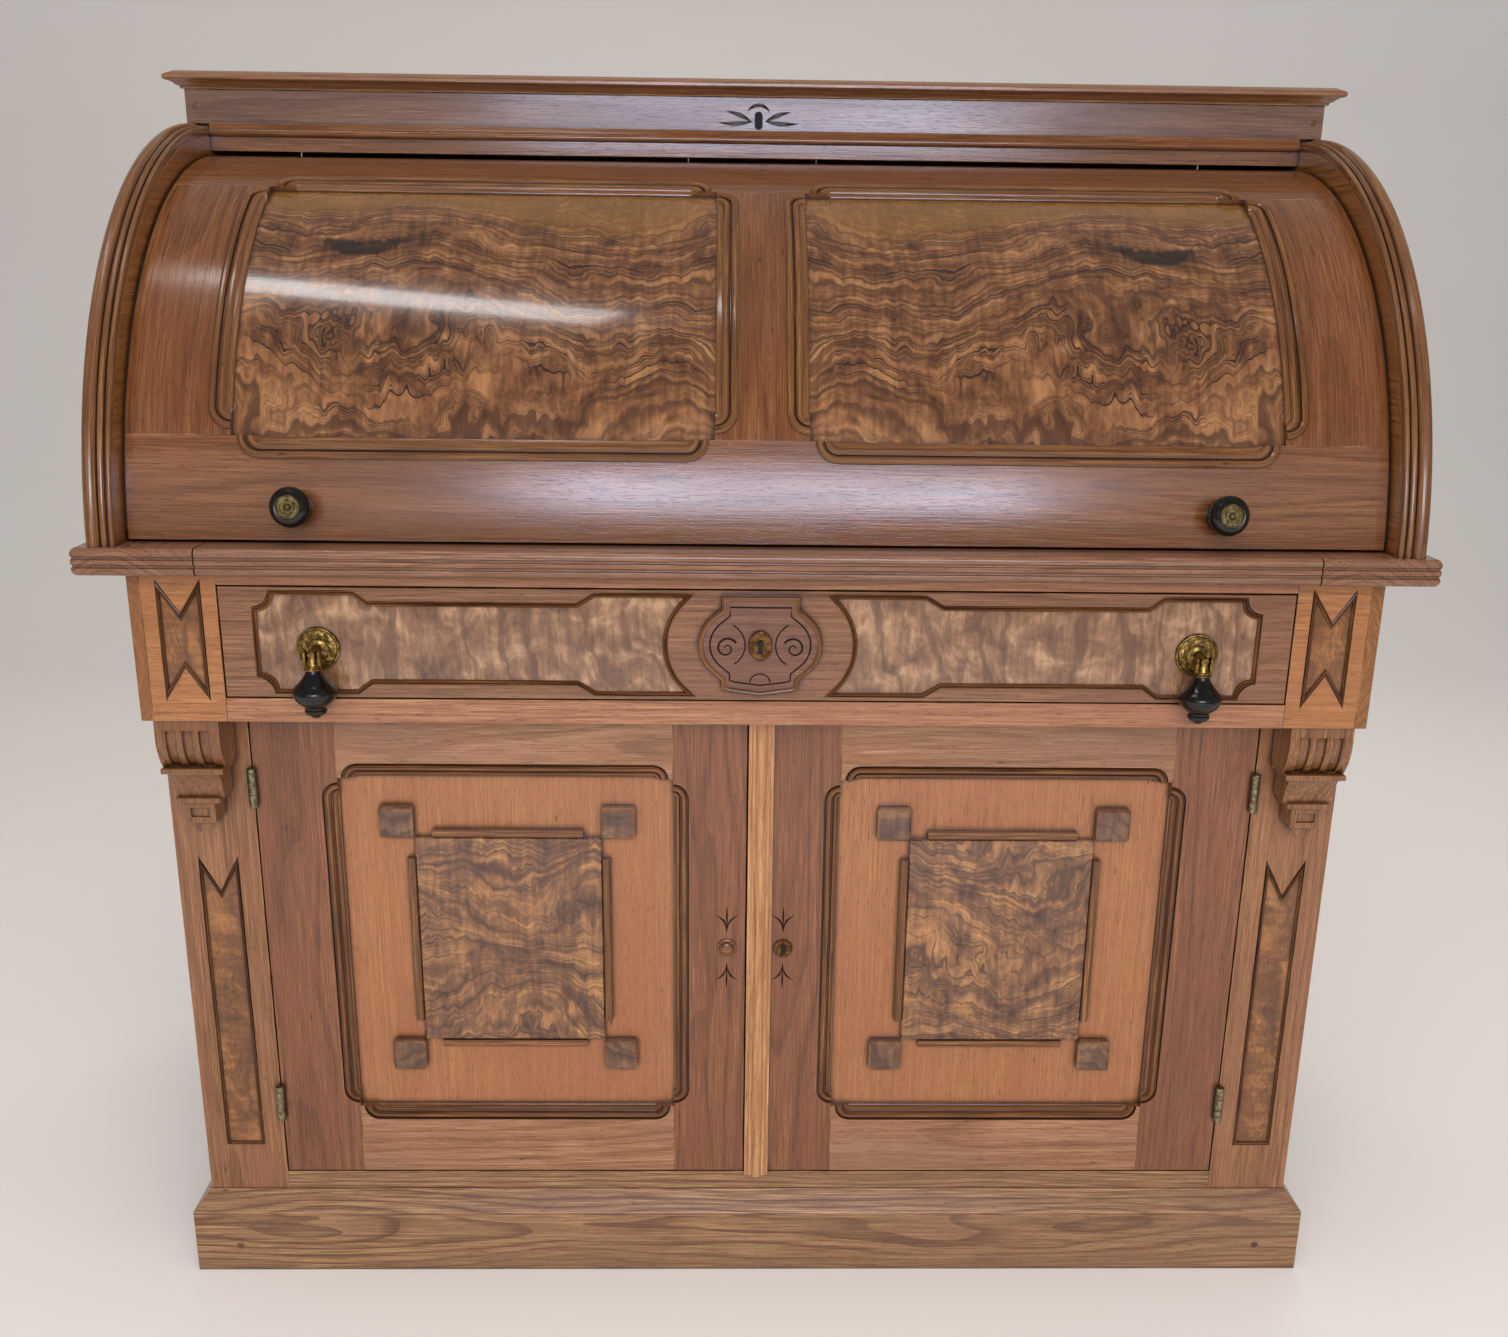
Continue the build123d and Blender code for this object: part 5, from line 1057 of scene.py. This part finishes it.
fall_walnut = walnut("walnut_fall_varnish", "#4a2911", "#693f21", "#835836", "#623c26", rough=0.17)
fall_ledge = 5.0
fall_moulding_width = 20.0
burl_spans = spans("fall_burls")
runs = []
for low, high in burl_spans:
    across = (low.x, high.x)
    around = (low.y * arc_mm, high.y * arc_mm)
    for edge, out in ((across[0], -1), (across[1], 1)):
        runs.append(("stiles", around, lambda a, b, h, e=edge, o=out: on_fall(e + o * b, a, h)))
    for edge, out in ((around[0], -1), (around[1], 1)):
        runs.append(("rails", across, lambda a, b, h, e=edge, o=out: on_fall(a, e + o * b, h)))
for kind in ("rails", "stiles"):
    node = "fall_" + kind
    wood = bmesh.new()
    for low, high in spans(node):
        rows = max(2, round(high.y - low.y))
        low_corner = (low.x, low.y * arc_mm, low.z - fall_radius)
        high_corner = (high.x, high.y * arc_mm, min(high.z - fall_radius, 0.0))
        plank = block(low_corner, high_corner, on_fall, (1, rows))
        gather(wood, plank)
    ease_arrises(wood, 0.35)
    lay_grain(wood, node, unroll=unrolled, along="x" if kind == "rails" else "y")
    made = piece(node + "_finished", wood, "fall", fall_walnut, (node,))
    cutters = bmesh.new()
    for form, (start, end), place in runs:
        if form == kind:
            ledge_cutter(cutters, start + 5, end - 5, fall_moulding_width, fall_ledge, place, 7.0)
    cut_away(made, cutters, node, "x" if kind == "rails" else "y", unrolled, 0.0)
fall_profile = (
    (0.1, -4.8), (0.1, 0.6), (0.9, 1.7), (2.6, 2.5), (4.6, 2.3), (6.2, 0.9), (6.9, -1.6),
    (7.6, -1.8), (8.4, -0.1), (10.2, 0.9), (12.4, 0.8), (14.2, -0.7), (14.9, -2.4), (16.8, -2.8),
    (19.2, -3.8), (19.7, -4.8),
)
fall_bead = walnut("walnut_fall_bead_varnish", "#42250e", "#6a4322", "#90673b", "#5f3c23", rough=0.2)
for count, (form, (start, end), place) in enumerate(runs):
    stations = ledge_stations(start + 5, end - 5, fall_moulding_width, 7.0)
    label = f"fall_moulding_{count + 1}"
    made = moulded(label, stations, fall_profile, place, "fall", fall_bead, closed=False)
    if count == 0:
        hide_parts("fall_mouldings")

fall_burl = burl(
    "burl_veneer_fall", "#3d2415", "#6f482b", "#956942", spacing=19.0, swirl=105.0, share=1.0,
    rough=0.17, lines=2.3, eye=(1000.0, 622.0, 0.0), gold=668.0,
)
panels = bmesh.new()
for low, high in burl_spans:
    rows = round(high.y - low.y)
    low_corner = (low.x, low.y * arc_mm, low.z - fall_radius)
    high_corner = (high.x, high.y * arc_mm, high.z - fall_radius)
    panel = block(low_corner, high_corner, on_fall, (24, rows))
    gather(panels, panel)
layer = panels.verts.layers.float_vector.new("grain")
panels.faces.layers.float.new("arris")
for vert in panels.verts:
    flat = unrolled(vert.co) / mm
    vert[layer] = Vector((abs(flat.x) + 640, flat.y + 310, flat.z))
piece("fall_burls_veneered", panels, "fall", fall_burl, ("fall_burls",))
planed("fall_tongues", pale_timber, unroll=unrolled, along="y", width=0)

# ------------------------------------------------------------------ knobs
# Turned and ebonised knobs screwed to the bottom rail, each with an engraved brass disc.

knob_line = [(13.0, -0.5), (13.0, 2.2), (12.4, 3.0)]
knob_line += rounded([(10.2, 4.2), (8.3, 7.5), (9.2, 12.5), (14.2, 16.6)])
knob_line += rounded([(16.4, 18.4), (17.3, 22.0), (16.6, 26.4), (13.6, 30.4)])
knob_line += [(11.4, 31.5), (10.6, 31.4), (10.4, 30.2), (0.0, 30.2)]


def ring_cuts(radius, turn):
    """Two engraved rings and a small star on the disc, 0.3 mm deep."""
    rings = 0.3 * (math.cos(radius * 2.1) > 0.75)
    star = 0.25 * max(0.0, math.cos(6 * turn)) * max(0.0, 1 - abs(radius - 5.2) / 1.6)
    return -rings - star


knobs = bmesh.new()
discs = bmesh.new()
for low, high in spans("knob_discs"):
    turn = math.radians((low.y + high.y) / 2)
    axis = Vector((0, -math.cos(turn), math.sin(turn)))
    seat = Vector(((low.x + high.x) / 2 * mm, pivot.y, pivot.z)) + axis * fall_radius * mm
    turned(knobs, [(0.0, -0.5)] + knob_line, seat, axis, 64)
    disc = [(0.0, 30.3), (10.3, 30.3), (10.3, 31.2)] + [(9.9 - 0.3 * k, 31.6) for k in range(26)]
    disc += [(2.2, 32.2), (1.8, 33.0), (1.0, 33.5), (0.0, 33.7)]
    turned(discs, disc, seat, axis, 72, lambda r, t: ring_cuts(r, t) if 2.4 < r < 9.8 else 0.0)
piece("knobs_turned", knobs, "fall", ebony, ("knobs",))
disc_brass = brass("brass_disc_dull", "#8d7a4f", "#4f4526", 0.45)
piece("knob_discs_engraved", discs, "fall", disc_brass, ("knob_discs",))

# ------------------------------------------------------------------ top box and cornice
# A shallow box of walnut boards over the fall, with a mitred cornice moulding and a let-in
# keyhole, framed by leaves and an arch cut with a V gouge.

box_walnut = walnut("walnut_box_varnish", "#4a2e22", "#664637", "#80604f", "#5f443a", rough=0.2)
cornice_walnut = walnut(
    "walnut_cornice_varnish", "#522f1a", "#7a5031", "#9e734d", "#71482d", rough=0.26,
)
planed("head_rail", fall_walnut, width=0.3)
fascia = planed("box_boards", box_walnut)
planed("top_board", carcase_walnut, along="x")
planed("cornice", cornice_walnut, width=0.3)
planed("fall_lock", iron_and_keyhole_shade, width=0)
low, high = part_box("fall_lock")
key_z = (low.z + 10 * mm) / mm
on_fascia = on_front(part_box("box_boards")[0].y / mm)
cutters = bmesh.new()
for side in (-1, 1):
    for rise, length, drop in ((3.0, 26.0, 12.0), (-2.5, 34.0, 1.0)):
        leaf = []
        for t in (0, 0.2, 0.4, 0.6, 0.8, 1):
            height = rise * math.sin(math.pi * t * 0.75) + drop * t * 0.6
            leaf.append(Vector((side * (7 + length * t), key_z - 1 + height)))
        gouge(cutters, leaf, (0.8, 3.4, 4.6, 4.0, 2.4, 0.4), 2.6, on_fascia)
arch = arc(0, key_z + 3, 12.5, 11.5, range(150, 29, -15))
gouge(cutters, arch, (0.8, 2.2, 3.0, 3.4, 3.4, 3.4, 3.0, 2.2, 0.8), 2.4, on_fascia)
# The faces of these gouge cuts are painted dark: painted shade in the cuts.
cut_away(fascia, cutters, "fascia", "x")
keyhole("fall_keyhole", Vector((0, key_z)), low.y / mm, "carcase")

# ------------------------------------------------------------------ pellets over screws
# Small round pellets of walnut let in flush over the screws of plinth, top box and fall.

pellet_walnut = walnut("walnut_pellet_varnish", "#3a2114", "#5a3822", "#79523a", "#4d2f20")
rail_angle = math.radians(76)
rail_out = Vector((0, -math.cos(rail_angle), math.sin(rail_angle)))
pellets = [("fall", pivot + Vector((3 * mm, 0, 0)) + rail_out * fall_radius * mm, rail_out)]
for side in (-1, 1):
    for node, x, z in (("plinth_boards", 525, 29), ("box_boards", 563, 1141)):
        seat = Vector((side * x * mm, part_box(node)[0].y, z * mm))
        pellets.append(("carcase", seat, Vector((0, -1, 0))))
for count, (body, seat, way) in enumerate(pellets):
    bm = bmesh.new()
    turned(bm, [(0.0, -1.5), (3.6, -1.5), (3.6, 0.05), (3.3, 0.2), (0.0, 0.25)], seat, way, 24)
    bm.faces.layers.float.new("arris")
    lay_grain(bm, f"pellet {count}", "x")
    piece(f"pellet_{count + 1}", bm, body, pellet_walnut)

# ------------------------------------------------------------------ pigeonholes
# Thin boards make the letter holes and shelves, with two small drawers beside the middle bay.

unit_walnut = walnut("walnut_interior_oiled", "#6f492e", "#977050", "#b48e6c", "#8c6446", rough=0.42)
for name in ("pigeonholes", "small_drawer_left", "small_drawer_right"):
    planed(name, unit_walnut, width=0.3)

# ------------------------------------------------------------------ floor, light and camera
# A plain pale floor swept up behind the desk, a window in front that the polish mirrors, a
# narrow lamp overhead, and broad soft light that fills front, top and back.

floor_paint, tree = blank("pale_floor")
cloud = add(tree, "TexNoise", {"Scale": 3.0, "Detail": 4.0})
patch = add(tree, "MapRange", {**smooth, 0: cloud, 1: 0.3, 2: 0.7, 3: 0.0, 4: 1.0})
colour = add(tree, "Mix", {**mixed, 0: patch, 6: "#f4f2ef", 7: "#ebe8e4"}, mixed_colour)
varnish(tree, {"Base Color": colour, "Roughness": 0.85})
bm = bmesh.new()
rows = [(-9.0, 0.0), (2.2, 0.0)]
for angle in range(6, 91, 6):
    turn = math.radians(angle)
    rows.append((2.2 + 1.6 * math.sin(turn), 1.6 - 1.6 * math.cos(turn)))
rows.append((3.8, 5.0))
sweep = [[bm.verts.new((x, y, z)) for x in (-9.0, 9.0)] for y, z in rows]
for row, after in zip(sweep, sweep[1:]):
    bm.faces.new((row[0], row[1], after[1], after[0]))
for face in bm.faces:
    face.smooth = True
mesh = bpy.data.meshes.new("floor")
bm.to_mesh(mesh)
bm.free()
mesh.materials.append(floor_paint)
floor = bpy.data.objects.new("floor", mesh)
bpy.context.scene.collection.objects.link(floor)

world = bpy.data.worlds.new("studio")
bpy.context.scene.world = world
world.use_nodes = True
world.node_tree.nodes["Background"].inputs[0].default_value = linear("#f2f3f6")
world.node_tree.nodes["Background"].inputs[1].default_value = 0.28


def softbox(name, spot, aim, width, height, power, code, mirrored=True):
    """A rectangular soft light at spot, turned to aim; the polish may mirror it or not."""
    data = bpy.data.lights.new(name, "AREA")
    data.shape = "RECTANGLE"
    data.size = width
    data.size_y = height
    data.energy = power
    data.color = linear(code)[:3]
    made = bpy.data.objects.new(name, data)
    made.location = spot
    made.rotation_mode = "QUATERNION"
    made.rotation_quaternion = (Vector(aim) - Vector(spot)).to_track_quat("-Z", "Y")
    made.visible_glossy = mirrored
    bpy.context.scene.collection.objects.link(made)


softbox("window", (0.12, -3.3, 1.62), (0, -0.3, 0.85), 1.5, 0.7, 40, "#d3e0ff")
softbox("room", (0, -3.5, 1.7), (0, -0.3, 0.7), 4.4, 1.6, 16, "#fff2e4")
softbox("wall", (0, -3.7, 2.1), (0, -0.3, 0.6), 4.2, 2.6, 86, "#fff0df", mirrored=False)
softbox("strip", (-0.60, -0.53, 2.43), (-0.45, -0.25, 0.9), 0.8, 0.15, 3.3, "#ffffff")
softbox("ceiling", (0.2, -0.7, 3.1), (0, 0, 0.8), 2.6, 1.8, 26, "#fff4e8", mirrored=False)
softbox("rear", (0.3, 2.0, 3.0), (0, 0.3, 0.6), 2.4, 1.0, 30, "#fff6ec", mirrored=False)

# The camera stands a little left of the middle, 1.3 m in front of the drawer and 1 m up, and
# looks down by 18 degrees.
eye = Vector((-34.75, -1673.95, 996.84)) * mm
pitch, yaw, roll = 0.3092, 0.0227, 0.0129
focal_share = 1551.4 / 1508
rise_share = 91.5 / 1508
camera_data = bpy.data.cameras.new("camera")
camera = bpy.data.objects.new("camera", camera_data)
bpy.context.scene.collection.objects.link(camera)
bpy.context.scene.camera = camera
camera_data.sensor_width = 36.0
camera_data.lens = 36.0 * focal_share
camera_data.shift_y = rise_share
camera_data.clip_start = 0.05
forward = Vector((math.sin(yaw) * math.cos(pitch), math.cos(yaw) * math.cos(pitch), -math.sin(pitch)))
level = Vector((math.cos(yaw), -math.sin(yaw), 0.0))
upward = level.cross(forward)
right = level * math.cos(roll) + upward * math.sin(roll)
upward = upward * math.cos(roll) - level * math.sin(roll)
turn = Matrix((right, upward, -forward)).transposed()
camera.matrix_world = Matrix.Translation(eye) @ turn.to_4x4()
bpy.context.scene.view_settings.view_transform = "Standard"
